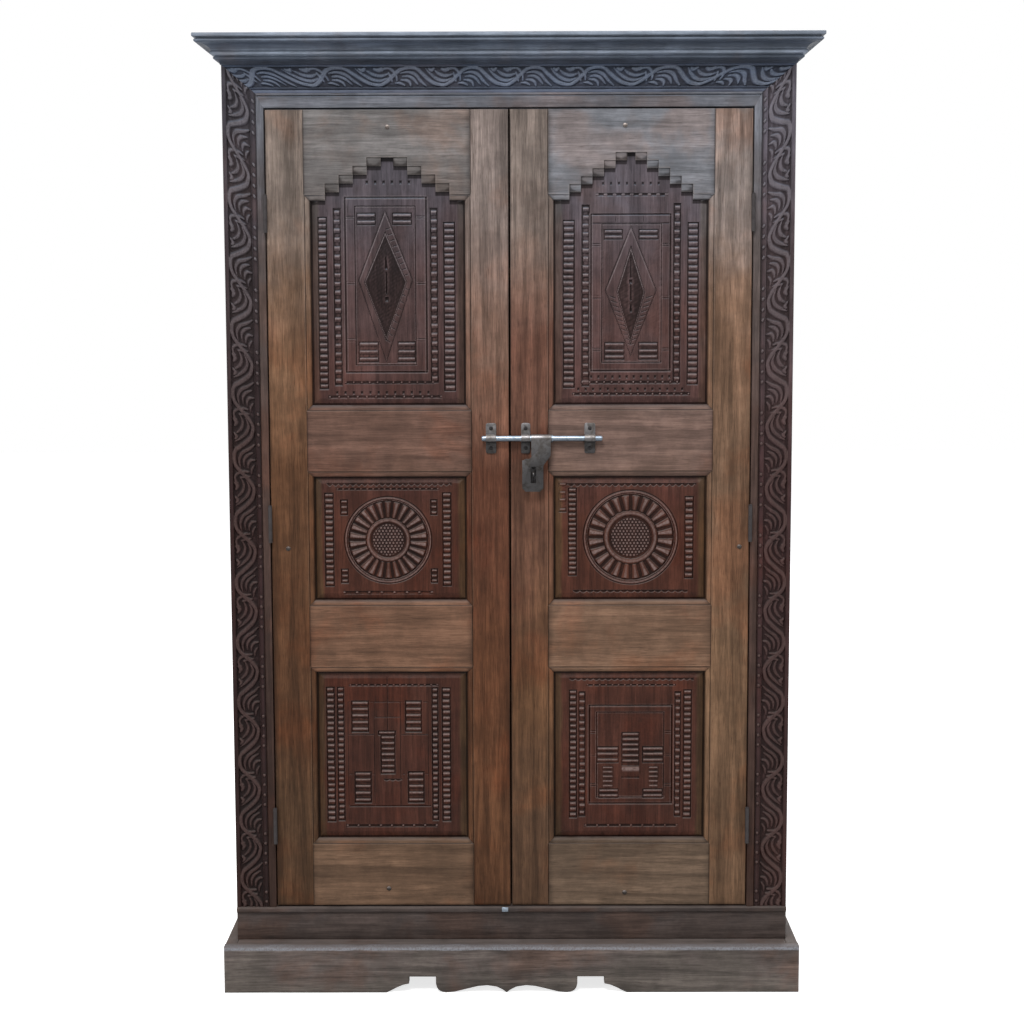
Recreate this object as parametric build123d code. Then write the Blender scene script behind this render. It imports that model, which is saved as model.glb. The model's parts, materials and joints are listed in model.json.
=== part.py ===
from build123d import *
import math
import os

# Carved two-door cabinet with stepped-arch doors and a sliding bolt.
# Millimetres. +Z is up, the front faces -Y, and the origin is on the floor under the middle of the whole.

# ---------------------------------------------------------------- driving dimensions
OVERSHOOT = 1.0  # how far a cutter runs past what it cuts

# Carcass, from the floor up.
CARCASS_WIDTH = 1150.0
CARCASS_DEPTH = 500.0
PLINTH_HEIGHT = 98.0
KICK_HEIGHT = 59.0
THRESHOLD_HEIGHT = 11.0
DOORWAY_HEIGHT = 1647.0
HEAD_BAND = 29.0  # plain band over the doors
FRIEZE_HEIGHT = 56.0
CROWN_HEIGHT = 57.0

# Boards.
FRAME_THICKNESS = 28.0  # face frame: architraves, frieze, kick board, fascia
SIDE_THICKNESS = 22.0
BACK_THICKNESS = 12.0
TOP_THICKNESS = 18.0
FLOOR_THICKNESS = 20.0
SHELF_THICKNESS = 20.0
SHELF_COUNT = 3
SHELF_SETBACK = 7.0  # front edge of a shelf behind the posts
BATTEN = 25.0
PLANK_COUNT = 6  # back boards
PLANK_GAP = 1.0

# Crown moulding.
CROWN_OVERHANG = 50.0
CROWN_FILLET = 8.0
CROWN_FILLET_STEP = 4.0
CROWN_BEAD = 6.0
CROWN_BEAD_REACH = 19.0  # face of the bead in front of the carcass
CROWN_COVE_HEIGHT = 17.0
CROWN_COVE_REACH = 13.0
CROWN_COVE_MIDDLE = (0.3, 0.62)  # share of the cove's reach and height
CROWN_BEAD_RETURN = 3.0
CROWN_CYMA_FOOT = 1.0  # start of the cyma in front of the bead
CROWN_CYMA_BELLY = 2.0
CROWN_FOOT = 2.0

# Face frame.
ARCHITRAVE_WIDTH = 67.0
JAMB_BAND = 16.0
BEAD_STRIP = 10.0  # flat strip that carries the beads, next to the jamb
OUTER_FILLET = 8.0
FRIEZE_FILLET = 4.0
CARVED_SINK = 3.0  # carved ground below the frame's face
CARVED_BEVEL = 1.0
POST_DEPTH = 40.0  # post behind each jamb band
STOP_HEIGHT = 12.5
STOP_GAP = 0.3  # behind a shut door
NOSING = 5.0  # threshold in front of the frame
NOSING_CHAMFER = 3.0
CATCH_WIDTH = 13.0
CATCH_HEIGHT = 9.0
CATCH_THICKNESS = 1.5
CATCH_FROM_CENTRE = -13.0

# Plinth.
PLINTH_THICKNESS = 25.0
PLINTH_FRONT_STEP = 50.0
PLINTH_SIDE_STEP = 22.0
DECK_THICKNESS = 20.0
BLOCK_SIDE = 40.0
BLOCK_LIFT = 18.0  # glue blocks stop short of the floor
SCALLOP_CENTRE = -10.0
SCALLOP_CREST = (40.0, 15.4)
SCALLOP_LOBE = 125.0
SCALLOP_RISE = (1.0, 0.75)  # slope at the middle
SCALLOP_FALL = (1.0, -0.1)  # slope of the outer lobe
SCALLOP_EAR = (141.0, 5.0)  # on the curve between the lobe and the notch
NOTCH_INNER = 147.0
NOTCH_OUTER = 203.0
NOTCH_TOP = 34.0
NOTCH_SHOULDER = 19.0
SCALLOP_END = 250.0

# Doors.
DOOR_THICKNESS = 35.0
DOOR_SETBACK = 3.0  # door face behind the frame's face
HINGE_GAP = 2.0
MEETING_GAP = 3.0
DOOR_GAP = 3.0  # over and under a door
STILE_WIDTH = 88.0
BOTTOM_RAIL = 143.0
BOTTOM_OPENING = 352.0
LOWER_RAIL = 151.0
MIDDLE_OPENING = 255.0
LOCK_RAIL = 147.0
TOP_RAIL = 181.0  # from the arch's shoulder up
STICKING = 12.0  # moulded edge round an opening
STICKING_QUIRK = 1.5
STICKING_DEPTH = 8.0
TENON_LENGTH = 60.0
TENON_THICKNESS = 10.0
TENON_SHOULDER = 18.0
MORTISE_CLEARANCE = 0.2

# Stepped arches: number of rises to a side, tread, rise and the crown slot.
LEFT_ARCH = dict(steps=5, tread=28.2, rise=17.2, crown=25.6)
RIGHT_ARCH = dict(steps=6, tread=23.2, rise=15.8, crown=17.0)
ARCH_BLOCK_SINK = 1.5
ARCH_BLOCK_BEVEL = 4.0

# Panels.
TONGUE = 10.0
TONGUE_THICKNESS = 8.0
TONGUE_DEPTH = 12.0  # front of the tongue behind the door's face
GROOVE_CLEARANCE = 0.2
FIELD_RISE = 4.0
FIELD_MARGIN = 2.0
FIELD_BEVEL = 12.0
CARVING_DEPTH = 2.5
LINE_WIDTH = 3.0

# Carving of the top panels: a frame, and two diamonds in it.
TOP_FRAME_MARGIN = (77.25, 30.0)  # frame inside the opening's straight part
TOP_FRAME_LIFT = 10.0
FRAME_BAND = 20.0
DIAMOND_MARGIN = 25.0  # outer diamond inside the frame
DIAMOND_INNER = 0.64  # share of the outer diamond

# Carving of the middle panels: rosettes.
LEFT_ROSETTE = 89.0
RIGHT_ROSETTE = 98.0
ROSETTE_RIM = 3.0
ROSETTE_RIM_GAP = 3.0
PETAL_COUNT = 26
PETAL_INNER = 0.50  # shares of the rosette's radius
PETAL_OUTER = 0.88
PETAL_FILL = 0.62  # share of the pitch that a petal takes
HUB_RING = (0.40, 0.46)
HUB = 0.37
HUB_CROWN = 0.22  # where the hub's slope meets its flat top

# Carving of the bottom panels.
BLOCK_GRID = 62.0  # centre to centre of the barred blocks
BARRED_BLOCK = (36.0, 50.0)
BAR_COUNT = 5
BAR_HEIGHT = 6.0
CROSS_FRAME = (164.0, 196.0)
CROSS_ARM = (40.0, 26.0)
CROSS_STEM = (36.0, 108.0)

# Hinges.
HINGE_HEIGHT = 75.0
HINGE_LEVELS = (137.0, 770.0)  # lower ends above the threshold
TOP_HINGE_DROP = 248.0  # lower end of the top hinge below the doorway's top
KNUCKLE_RADIUS = 4.0
KNUCKLE_COUNT = 3
KNUCKLE_SIDES = 16
KNUCKLE_PLAY = 0.3
PIN_RADIUS = 2.0
PIN_PLAY = 0.05
PIN_HEAD = (3.4, 2.0)
LEAF_THICKNESS = 2.0
LEAF_REACH = 22.0  # leaf behind the frame's face
HINGE_PROUD = 0.3  # knuckle in front of the frame's face

# Forged nails and screws: radius and height of the head, radius and length of the shank.
HEAD_SIDES = 12
SHANK_SIDES = 8
SHANK_PLAY = 0.05
NAIL_HEAD = (5.0, 2.5)
NAIL_SHANK = (1.6, 22.0)
SCREW_HEAD = (4.2, 1.8)
SCREW_SHANK = (1.75, 16.0)

# Places of the nails: distance from the door's hinge edge, and up from its foot or down from its top.
LEFT_NAILS = ((246.0, -35.0), (234.0, 36.0), (34.0, 754.0))
RIGHT_NAILS = ((257.0, -33.0), (253.0, 27.0), (20.0, 756.0))

# Sliding bolt, its brackets and its hasp.
BOLT_HEIGHT = 980.0  # above the door's foot
ROD_RADIUS = 5.75
ROD_SPAN = (-57.5, 188.5)
ROD_END_CHAMFER = 1.2
ROD_STANDOFF = 10.0  # rod's axis in front of the door's face
COLLAR_RADIUS = 7.2
COLLARS = ((41.8, 43.3), (85.0, 87.5))
STRAP_CLEARANCE = 0.5
STRAP_THICKNESS = 2.0
STRAP_REACH = 31.0
KEEPER_SPAN = (-49.0, -28.0)
MIDDLE_BRACKET_SPAN = (23.0, 41.5)
END_BRACKET_SPAN = (152.0, 174.0)
STRAP_SCREW_LEVEL = 20.0
KNUCKLE_SPAN = (43.5, 84.8)
HASP_PLAY = 0.1
HASP_EYE_WALL = 2.4
HASP_THICKNESS = 3.0
HASP_NECK = (43.5, 83.0)
HASP_BLADE = (25.0, 68.0)
HASP_STEP = 41.0  # where the neck widens, below the rod
HASP_LENGTH = 108.0
HASP_CORNER = 7.0
HASP_SLANT = 0.4  # share of the shoulder that slants
HASP_SLOT = (42.0, 53.6)
HASP_SLOT_DROP = (57.0, 91.0)
STAPLE_CENTRE = 48.0
STAPLE_DROP = 74.0
STAPLE_THICKNESS = 3.0
STAPLE_HALF = 6.5
STAPLE_EYE = 4.0
STAPLE_EYE_REACH = 8.5
STAPLE_BASE = (20.0, 38.0)
STAPLE_SCREW_INSET = 5.2  # from the base's end to a screw

# ---------------------------------------------------------------- planes worked out from them
HALF_WIDTH = CARCASS_WIDTH / 2
FRONT = PLINTH_FRONT_STEP - (CARCASS_DEPTH + PLINTH_FRONT_STEP) / 2
BACK = FRONT + CARCASS_DEPTH
FRAME_BACK = FRONT + FRAME_THICKNESS
INNER_WIDTH = HALF_WIDTH - SIDE_THICKNESS
JAMB_OUTER = HALF_WIDTH - ARCHITRAVE_WIDTH
DOORWAY_HALF = JAMB_OUTER - JAMB_BAND
POST_BACK = FRAME_BACK + POST_DEPTH
PLANK_FRONT = BACK - BACK_THICKNESS

KICK_TOP = PLINTH_HEIGHT + KICK_HEIGHT
FLOOR_TOP = KICK_TOP + THRESHOLD_HEIGHT
DOORWAY_TOP = FLOOR_TOP + DOORWAY_HEIGHT
HEAD_TOP = DOORWAY_TOP + HEAD_BAND
FRIEZE_TOP = HEAD_TOP + FRIEZE_HEIGHT
TOP = FRIEZE_TOP + CROWN_HEIGHT
CEILING = TOP - TOP_THICKNESS

DOOR_FACE = FRONT + DOOR_SETBACK
DOOR_BACK = DOOR_FACE + DOOR_THICKNESS
DOOR_X = (-(DOORWAY_HALF - HINGE_GAP), -MEETING_GAP / 2)
DOOR_Z = (FLOOR_TOP + DOOR_GAP, DOORWAY_TOP - DOOR_GAP)
OPENING_X = (DOOR_X[0] + STILE_WIDTH, DOOR_X[1] - STILE_WIDTH)
OPENING_WIDTH = OPENING_X[1] - OPENING_X[0]
DOOR_CENTRE = (OPENING_X[0] + OPENING_X[1]) / 2

BOTTOM_Z = (DOOR_Z[0] + BOTTOM_RAIL, DOOR_Z[0] + BOTTOM_RAIL + BOTTOM_OPENING)
MIDDLE_Z = (BOTTOM_Z[1] + LOWER_RAIL, BOTTOM_Z[1] + LOWER_RAIL + MIDDLE_OPENING)
TOP_Z = (MIDDLE_Z[1] + LOCK_RAIL, DOOR_Z[1] - TOP_RAIL)

GROOVE_FRONT = DOOR_FACE + TONGUE_DEPTH
GROOVE_BACK = GROOVE_FRONT + TONGUE_THICKNESS
FIELD_FACE = GROOVE_FRONT - FIELD_RISE
TENON_Y = (GROOVE_FRONT, GROOVE_FRONT + TENON_THICKNESS)

HINGE_FEET = [FLOOR_TOP + level for level in HINGE_LEVELS] + [DOORWAY_TOP - TOP_HINGE_DROP]
HINGE_X = -(DOORWAY_HALF - HINGE_GAP / 2)
HINGE_Y = FRONT - KNUCKLE_RADIUS - HINGE_PROUD
BOLT_LEVEL = DOOR_Z[0] + BOLT_HEIGHT
ROD_Y = DOOR_FACE - ROD_STANDOFF
STRAP_INNER = ROD_RADIUS + STRAP_CLEARANCE
STRAP_OUTER = STRAP_INNER + STRAP_THICKNESS
EYE_INNER = ROD_RADIUS + HASP_PLAY
EYE_OUTER = EYE_INNER + HASP_EYE_WALL


# ---------------------------------------------------------------- shapes that many pieces share
def board(x, y, z):
    """A square-edged board between a low and a high plane each way."""
    middle = Pos((x[0] + x[1]) / 2, (y[0] + y[1]) / 2, (z[0] + z[1]) / 2)
    return middle * Box(x[1] - x[0], y[1] - y[0], z[1] - z[0])


def polygon(points):
    return make_face(Polyline(*points, close=True))


def front_prism(face, y):
    """A face drawn in x and z, as seen from the front, as thick as the two y planes."""
    return extrude(Plane.XZ.offset(-y[1]) * face, y[1] - y[0])


def side_prism(face, x):
    """A face drawn in y and z, run along x."""
    return extrude(Plane.YZ.offset(x[0]) * face, x[1] - x[0])


def plan_prism(face, z):
    """A face drawn in x and y, run up z."""
    return extrude(Plane.XY.offset(z[0]) * face, z[1] - z[0])


def group(pieces):
    """Separate solids that share one node."""
    return Compound([solid for piece in pieces for solid in piece.solids()])


def mirrored(piece):
    """The same piece on the other side of the cabinet."""
    return mirror(piece, about=Plane.YZ)


def widened(span, by):
    return (span[0] - by, span[1] + by)


def rectangle(x, z):
    return [(x[0], z[0]), (x[1], z[0]), (x[1], z[1]), (x[0], z[1])]


def frustum(x, z, wide, y_wide, y_narrow):
    """A block that is wider by `wide` on every side at y_wide than at y_narrow."""
    near = Plane.XZ.offset(-y_wide) * polygon(rectangle(widened(x, wide), widened(z, wide)))
    far = Plane.XZ.offset(-y_narrow) * polygon(rectangle(x, z))
    return loft([near, far])


# ---------------------------------------------------------------- plinth
def scallop_cutter():
    """Half of the space under the plinth's scalloped edge, out from its middle."""
    below = -BLOCK_LIFT
    edges = [
        Line((0, below), (0, 0)),
        Spline((0, 0), SCALLOP_CREST, (SCALLOP_LOBE, 0), tangents=[SCALLOP_RISE, (1, 0)]),
        ThreePointArc((SCALLOP_LOBE, 0), SCALLOP_EAR, (NOTCH_INNER, NOTCH_SHOULDER)),
        Polyline(
            (NOTCH_INNER, NOTCH_SHOULDER),
            (NOTCH_INNER, NOTCH_TOP),
            (NOTCH_OUTER, NOTCH_TOP),
            (NOTCH_OUTER, NOTCH_SHOULDER),
        ),
        Spline((NOTCH_OUTER, NOTCH_SHOULDER), (SCALLOP_END, 0), tangents=[SCALLOP_FALL, SCALLOP_FALL]),
        Polyline((SCALLOP_END, 0), (SCALLOP_END, below), (0, below)),
    ]
    return make_face(edges)


def plinth():
    outer = HALF_WIDTH + PLINTH_SIDE_STEP
    inner = outer - PLINTH_THICKNESS
    front = FRONT - PLINTH_FRONT_STEP
    front_inner = front + PLINTH_THICKNESS
    back_inner = BACK - PLINTH_THICKNESS
    height = (0, PLINTH_HEIGHT)
    deck = (PLINTH_HEIGHT - DECK_THICKNESS, PLINTH_HEIGHT)
    face = board((-outer, outer), (front, front_inner), height)
    cutter = front_prism(scallop_cutter(), widened((front, front_inner), OVERSHOOT))
    for half in (cutter, mirrored(cutter)):
        face -= Pos(SCALLOP_CENTRE, 0, 0) * half
    left = board((-outer, -inner), (front_inner, BACK), height)
    blocks = []
    for x in (-inner, -BLOCK_SIDE / 2, inner - BLOCK_SIDE):
        for y in (front_inner, back_inner - BLOCK_SIDE):
            blocks.append(board((x, x + BLOCK_SIDE), (y, y + BLOCK_SIDE), (BLOCK_LIFT, deck[0])))
    return {
        "plinth_front": face,
        "plinth_left": left,
        "plinth_right": mirrored(left),
        "plinth_back": board((-inner, inner), (back_inner, BACK), height),
        "plinth_deck": board((-inner, inner), (front_inner, back_inner), deck),
        "plinth_blocks": group(blocks),
    }


# ---------------------------------------------------------------- carcass
def carcass():
    side = board((-HALF_WIDTH, -INNER_WIDTH), (FRAME_BACK, BACK), (PLINTH_HEIGHT, CEILING))
    inside = (-INNER_WIDTH, INNER_WIDTH)
    plank = (2 * INNER_WIDTH - (PLANK_COUNT - 1) * PLANK_GAP) / PLANK_COUNT
    planks = []
    for number in range(PLANK_COUNT):
        start = -INNER_WIDTH + number * (plank + PLANK_GAP)
        planks.append(board((start, start + plank), (PLANK_FRONT, BACK), (PLINTH_HEIGHT, CEILING)))
    return {
        "side_left": side,
        "side_right": mirrored(side),
        "back_boards": group(planks),
        "top_board": board((-HALF_WIDTH, HALF_WIDTH), (FRONT, BACK), (CEILING, TOP)),
        "floor_board": board(inside, (FRAME_BACK, PLANK_FRONT), (FLOOR_TOP - FLOOR_THICKNESS, FLOOR_TOP)),
        "fascia": board((-HALF_WIDTH, HALF_WIDTH), (FRONT, FRAME_BACK), (FRIEZE_TOP, CEILING)),
        "kick_board": board((-HALF_WIDTH, HALF_WIDTH), (FRONT, FRAME_BACK), (PLINTH_HEIGHT, KICK_TOP)),
    }


def shelves():
    """Three shelves that share the height evenly, and battens under them and under the floor."""
    pitch = (CEILING - FLOOR_TOP) / (SHELF_COUNT + 1)
    tops = [FLOOR_TOP + pitch * (number + 1) for number in range(SHELF_COUNT)]
    depth = (POST_BACK + SHELF_SETBACK, PLANK_FRONT)
    names = ("shelf_lower", "shelf_middle", "shelf_upper")
    nodes = {}
    battens = []
    for name, top in zip(names, tops):
        nodes[name] = board((-INNER_WIDTH, INNER_WIDTH), depth, (top - SHELF_THICKNESS, top))
    for under in (FLOOR_TOP - FLOOR_THICKNESS, *(top - SHELF_THICKNESS for top in tops)):
        batten = board((-INNER_WIDTH, -INNER_WIDTH + BATTEN), depth, (under - BATTEN, under))
        battens += [batten, mirrored(batten)]
    nodes["shelf_battens"] = group(battens)
    return nodes


# ---------------------------------------------------------------- face frame
def threshold():
    """Nosed strip that the doors close over, with a small metal catch let into its face."""
    front = FRONT - NOSING
    profile = polygon(
        [
            (FRAME_BACK, KICK_TOP),
            (front + NOSING_CHAMFER, KICK_TOP),
            (front, KICK_TOP + NOSING_CHAMFER),
            (front, FLOOR_TOP - NOSING_CHAMFER),
            (front + NOSING_CHAMFER, FLOOR_TOP),
            (FRAME_BACK, FLOOR_TOP),
        ]
    )
    strip = side_prism(profile, (-HALF_WIDTH, HALF_WIDTH))
    catch = board(
        (CATCH_FROM_CENTRE - CATCH_WIDTH / 2, CATCH_FROM_CENTRE + CATCH_WIDTH / 2),
        (front - CATCH_THICKNESS, front + NOSING_CHAMFER),
        (FLOOR_TOP - CATCH_HEIGHT, FLOOR_TOP),
    )
    return {"threshold": strip - catch, "threshold_catch": catch}


def sunk_profile(inner, outer, fillet):
    """Plan of a carved board: a flat strip, a ground sunk between bevels, and an outer fillet."""
    ground = FRONT + CARVED_SINK
    return [
        (inner, FRAME_BACK),
        (inner, FRONT),
        (inner + BEAD_STRIP, FRONT),
        (inner + BEAD_STRIP + CARVED_BEVEL, ground),
        (outer - fillet - CARVED_BEVEL, ground),
        (outer - fillet, FRONT),
        (outer, FRONT),
        (outer, FRAME_BACK),
    ]


def face_frame():
    """Carved boards mitred round plain bands, which are mitred too and carry posts behind them."""
    depth = (FRONT, FRAME_BACK)
    upright = polygon(sunk_profile(JAMB_OUTER, HALF_WIDTH, OUTER_FILLET))
    upright_outline = [
        (JAMB_OUTER, FLOOR_TOP),
        (HALF_WIDTH, FLOOR_TOP),
        (HALF_WIDTH, FRIEZE_TOP),
        (JAMB_OUTER, HEAD_TOP),
    ]
    right = plan_prism(upright, (FLOOR_TOP, FRIEZE_TOP)) & front_prism(polygon(upright_outline), depth)
    across = polygon([(y, z) for z, y in sunk_profile(HEAD_TOP, FRIEZE_TOP, FRIEZE_FILLET)])
    across_outline = [
        (-HALF_WIDTH, FRIEZE_TOP),
        (-JAMB_OUTER, HEAD_TOP),
        (JAMB_OUTER, HEAD_TOP),
        (HALF_WIDTH, FRIEZE_TOP),
    ]
    frieze = side_prism(across, (-HALF_WIDTH, HALF_WIDTH)) & front_prism(polygon(across_outline), depth)

    band_outline = [
        (DOORWAY_HALF, FLOOR_TOP),
        (JAMB_OUTER, FLOOR_TOP),
        (JAMB_OUTER, HEAD_TOP),
        (DOORWAY_HALF, DOORWAY_TOP),
    ]
    post = board((DOORWAY_HALF, INNER_WIDTH), (FRAME_BACK, POST_BACK), (FLOOR_TOP, DOORWAY_TOP))
    jamb = front_prism(polygon(band_outline), depth) + post
    leaf_x = (DOORWAY_HALF - OVERSHOOT, DOORWAY_HALF + LEAF_THICKNESS)
    for foot in HINGE_FEET:
        jamb -= board(leaf_x, (FRONT - OVERSHOOT, FRONT + LEAF_REACH), (foot, foot + HINGE_HEIGHT))
    head_outline = [
        (-DOORWAY_HALF, DOORWAY_TOP),
        (DOORWAY_HALF, DOORWAY_TOP),
        (JAMB_OUTER, HEAD_TOP),
        (-JAMB_OUTER, HEAD_TOP),
    ]
    head_post = board((-INNER_WIDTH, INNER_WIDTH), (FRAME_BACK, POST_BACK), (DOORWAY_TOP, FRIEZE_TOP))
    stop = (DOOR_BACK + STOP_GAP, POST_BACK)
    stop_z = (DOORWAY_TOP - STOP_HEIGHT, DOORWAY_TOP)
    return {
        "architrave_left": mirrored(right),
        "architrave_right": right,
        "frieze": frieze,
        "jamb_left": mirrored(jamb),
        "jamb_right": jamb,
        "jamb_head": front_prism(polygon(head_outline), depth) + head_post,
        "door_stop": board((-DOORWAY_HALF, DOORWAY_HALF), stop, stop_z),
    }


# ---------------------------------------------------------------- crown moulding
def crown_profile():
    """Section in (outwards, up): foot cove, bead, long cyma and top fillet, against the carcass."""
    foot = FRIEZE_TOP + CROWN_FOOT
    cove_top = foot + CROWN_COVE_HEIGHT
    bead_top = cove_top + CROWN_BEAD
    fillet = TOP - CROWN_FILLET
    slope_top = CROWN_OVERHANG - CROWN_FILLET_STEP
    slope_foot = CROWN_BEAD_REACH + CROWN_CYMA_FOOT
    cyma_middle = (
        (slope_top + slope_foot) / 2 + CROWN_CYMA_BELLY,
        (bead_top + fillet) / 2 - CROWN_CYMA_BELLY,
    )
    cove_middle = (
        CROWN_COVE_REACH * CROWN_COVE_MIDDLE[0],
        foot + CROWN_COVE_HEIGHT * CROWN_COVE_MIDDLE[1],
    )
    bead_back = CROWN_BEAD_REACH - CROWN_BEAD_RETURN
    edges = [
        Line((0, TOP), (0, FRIEZE_TOP)),
        Line((0, FRIEZE_TOP), (CROWN_FOOT, FRIEZE_TOP)),
        Line((CROWN_FOOT, FRIEZE_TOP), (CROWN_FOOT, foot)),
        ThreePointArc((CROWN_FOOT, foot), cove_middle, (CROWN_COVE_REACH, cove_top)),
        ThreePointArc(
            (CROWN_COVE_REACH, cove_top),
            (CROWN_BEAD_REACH, cove_top + CROWN_BEAD / 2),
            (bead_back, bead_top),
        ),
        Line((bead_back, bead_top), (slope_foot, bead_top)),
        ThreePointArc((slope_foot, bead_top), cyma_middle, (slope_top, fillet)),
        Line((slope_top, fillet), (CROWN_OVERHANG, fillet)),
        Line((CROWN_OVERHANG, fillet), (CROWN_OVERHANG, TOP)),
        Line((CROWN_OVERHANG, TOP), (0, TOP)),
    ]
    return make_face(edges)


def crown():
    """Front length and two returns, mitred on the diagonals of the front corners."""
    reach = HALF_WIDTH + CROWN_OVERHANG
    edge = FRONT - CROWN_OVERHANG
    outwards_is_front = Plane(origin=(-reach, FRONT, 0), x_dir=(0, -1, 0), z_dir=(-1, 0, 0))
    front_run = extrude(outwards_is_front * crown_profile(), -2 * reach)
    outwards_is_right = Plane(origin=(HALF_WIDTH, edge, 0), x_dir=(1, 0, 0), z_dir=(0, -1, 0))
    right_run = extrude(outwards_is_right * crown_profile(), edge - BACK)
    front_plan = [(-reach, edge), (reach, edge), (HALF_WIDTH, FRONT), (-HALF_WIDTH, FRONT)]
    right_plan = [(reach, edge), (reach, BACK), (HALF_WIDTH, BACK), (HALF_WIDTH, FRONT)]
    height = (FRIEZE_TOP, TOP)
    right = right_run & plan_prism(polygon(right_plan), height)
    return {
        "crown_front": front_run & plan_prism(polygon(front_plan), height),
        "crown_left": mirrored(right),
        "crown_right": right,
    }


# ---------------------------------------------------------------- door frames
def arch_points(arch):
    """The stepped head of the top opening, from its left shoulder to its right one."""
    shoulder = (OPENING_WIDTH - arch["crown"]) / 2 - (arch["steps"] - 1) * arch["tread"]
    left = [(OPENING_X[0], TOP_Z[1])]
    x = OPENING_X[0] + shoulder
    for step in range(arch["steps"]):
        left += [(x, TOP_Z[1] + step * arch["rise"]), (x, TOP_Z[1] + (step + 1) * arch["rise"])]
        x += arch["tread"]
    right = [(OPENING_X[0] + OPENING_X[1] - x, z) for x, z in reversed(left)]
    return left + right


def arch_height(arch):
    return arch["steps"] * arch["rise"]


def arch_blocks(arch):
    """Bevels that give each step a block face leaning back to the panel."""
    points = arch_points(arch)
    treads = list(zip(points[2:-1:2], points[3:-1:2]))
    treads.pop(arch["steps"] - 1)  # the crown slot has no block over it
    in_front = DOOR_FACE - OVERSHOOT
    bevels = []
    for (x0, z), (x1, _) in treads:
        outline = [
            (in_front, z),
            (DOOR_FACE + ARCH_BLOCK_SINK + ARCH_BLOCK_BEVEL, z),
            (DOOR_FACE + ARCH_BLOCK_SINK, z + arch["rise"]),
            (in_front, z + arch["rise"]),
        ]
        bevels.append(side_prism(polygon(outline), (x0, x1)))
    return bevels


def openings():
    return (BOTTOM_Z, MIDDLE_Z, TOP_Z)


def sticking_cutter(z):
    """Moulded edge of one opening: a small quirk, then a bevel down to the panel."""
    quirk_floor = DOOR_FACE + STICKING_QUIRK
    quirk_y = (DOOR_FACE - OVERSHOOT, quirk_floor)
    quirk = board(widened(OPENING_X, STICKING), quirk_y, widened(z, STICKING))
    return quirk + frustum(OPENING_X, z, STICKING, quirk_floor, DOOR_FACE + STICKING_DEPTH)


def groove_cutter(z, head=0.0):
    """Slot that holds a panel's tongue all round."""
    y = (GROOVE_FRONT - GROOVE_CLEARANCE, GROOVE_BACK + GROOVE_CLEARANCE)
    reach = TONGUE + GROOVE_CLEARANCE
    return board(widened(OPENING_X, reach), y, (z[0] - reach, z[1] + head + reach))


def rail_spans(arch):
    """Each rail's low and high edge, and the room above its low edge that its tenons leave."""
    return {
        "bottom_rail": (DOOR_Z[0], BOTTOM_Z[0], 0.0),
        "lower_rail": (BOTTOM_Z[1], MIDDLE_Z[0], 0.0),
        "lock_rail": (MIDDLE_Z[1], TOP_Z[0], 0.0),
        "top_rail": (TOP_Z[1], DOOR_Z[1], arch_height(arch)),
    }


def tenon(low, high, room, clearance=0.0):
    """Both tenons of a rail, as one bar through it."""
    x = widened(OPENING_X, TENON_LENGTH + clearance)
    z = (low + room + TENON_SHOULDER - clearance, high - TENON_SHOULDER + clearance)
    return board(x, widened(TENON_Y, clearance), z)


def door_frame(arch):
    """Stiles and rails of the left-hand door."""
    depth = (DOOR_FACE, DOOR_BACK)
    cutters = [sticking_cutter(z) for z in openings()]
    cutters += [groove_cutter(BOTTOM_Z), groove_cutter(MIDDLE_Z)]
    cutters.append(groove_cutter(TOP_Z, arch_height(arch)))
    outer = board((DOOR_X[0], OPENING_X[0]), depth, DOOR_Z)
    inner = board((OPENING_X[1], DOOR_X[1]), depth, DOOR_Z)
    leaf_x = (DOOR_X[0] - OVERSHOOT, DOOR_X[0] + LEAF_THICKNESS)
    for foot in HINGE_FEET:
        outer -= board(leaf_x, (DOOR_FACE - OVERSHOOT, FRONT + LEAF_REACH), (foot, foot + HINGE_HEIGHT))
    frame = {}
    for name, (low, high, room) in rail_spans(arch).items():
        rail = board(OPENING_X, depth, (low, high)) + tenon(low, high, room)
        if name == "top_rail":
            below = low - OVERSHOOT
            outline = polygon([(OPENING_X[0], below), *arch_points(arch), (OPENING_X[1], below)])
            rail -= [front_prism(outline, widened(depth, OVERSHOOT)), *arch_blocks(arch)]
        frame[name] = rail - cutters
    cutters += [tenon(*span, MORTISE_CLEARANCE) for span in rail_spans(arch).values()]
    return {"outer_stile": outer - cutters, "inner_stile": inner - cutters, **frame}


# ---------------------------------------------------------------- carved panels
def ring_face(outer, inner):
    return polygon(outer) - polygon(inner)


def centred(x, z, size):
    return rectangle((x - size[0] / 2, x + size[0] / 2), (z - size[1] / 2, z + size[1] / 2))


def diamond(x, z, size):
    return [(x - size[0] / 2, z), (x, z - size[1] / 2), (x + size[0] / 2, z), (x, z + size[1] / 2)]


def sunk(face):
    """What is cut away under a face of the design, to the depth of the carving."""
    return front_prism(face, (FIELD_FACE - OVERSHOOT, FIELD_FACE + CARVING_DEPTH))


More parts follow.
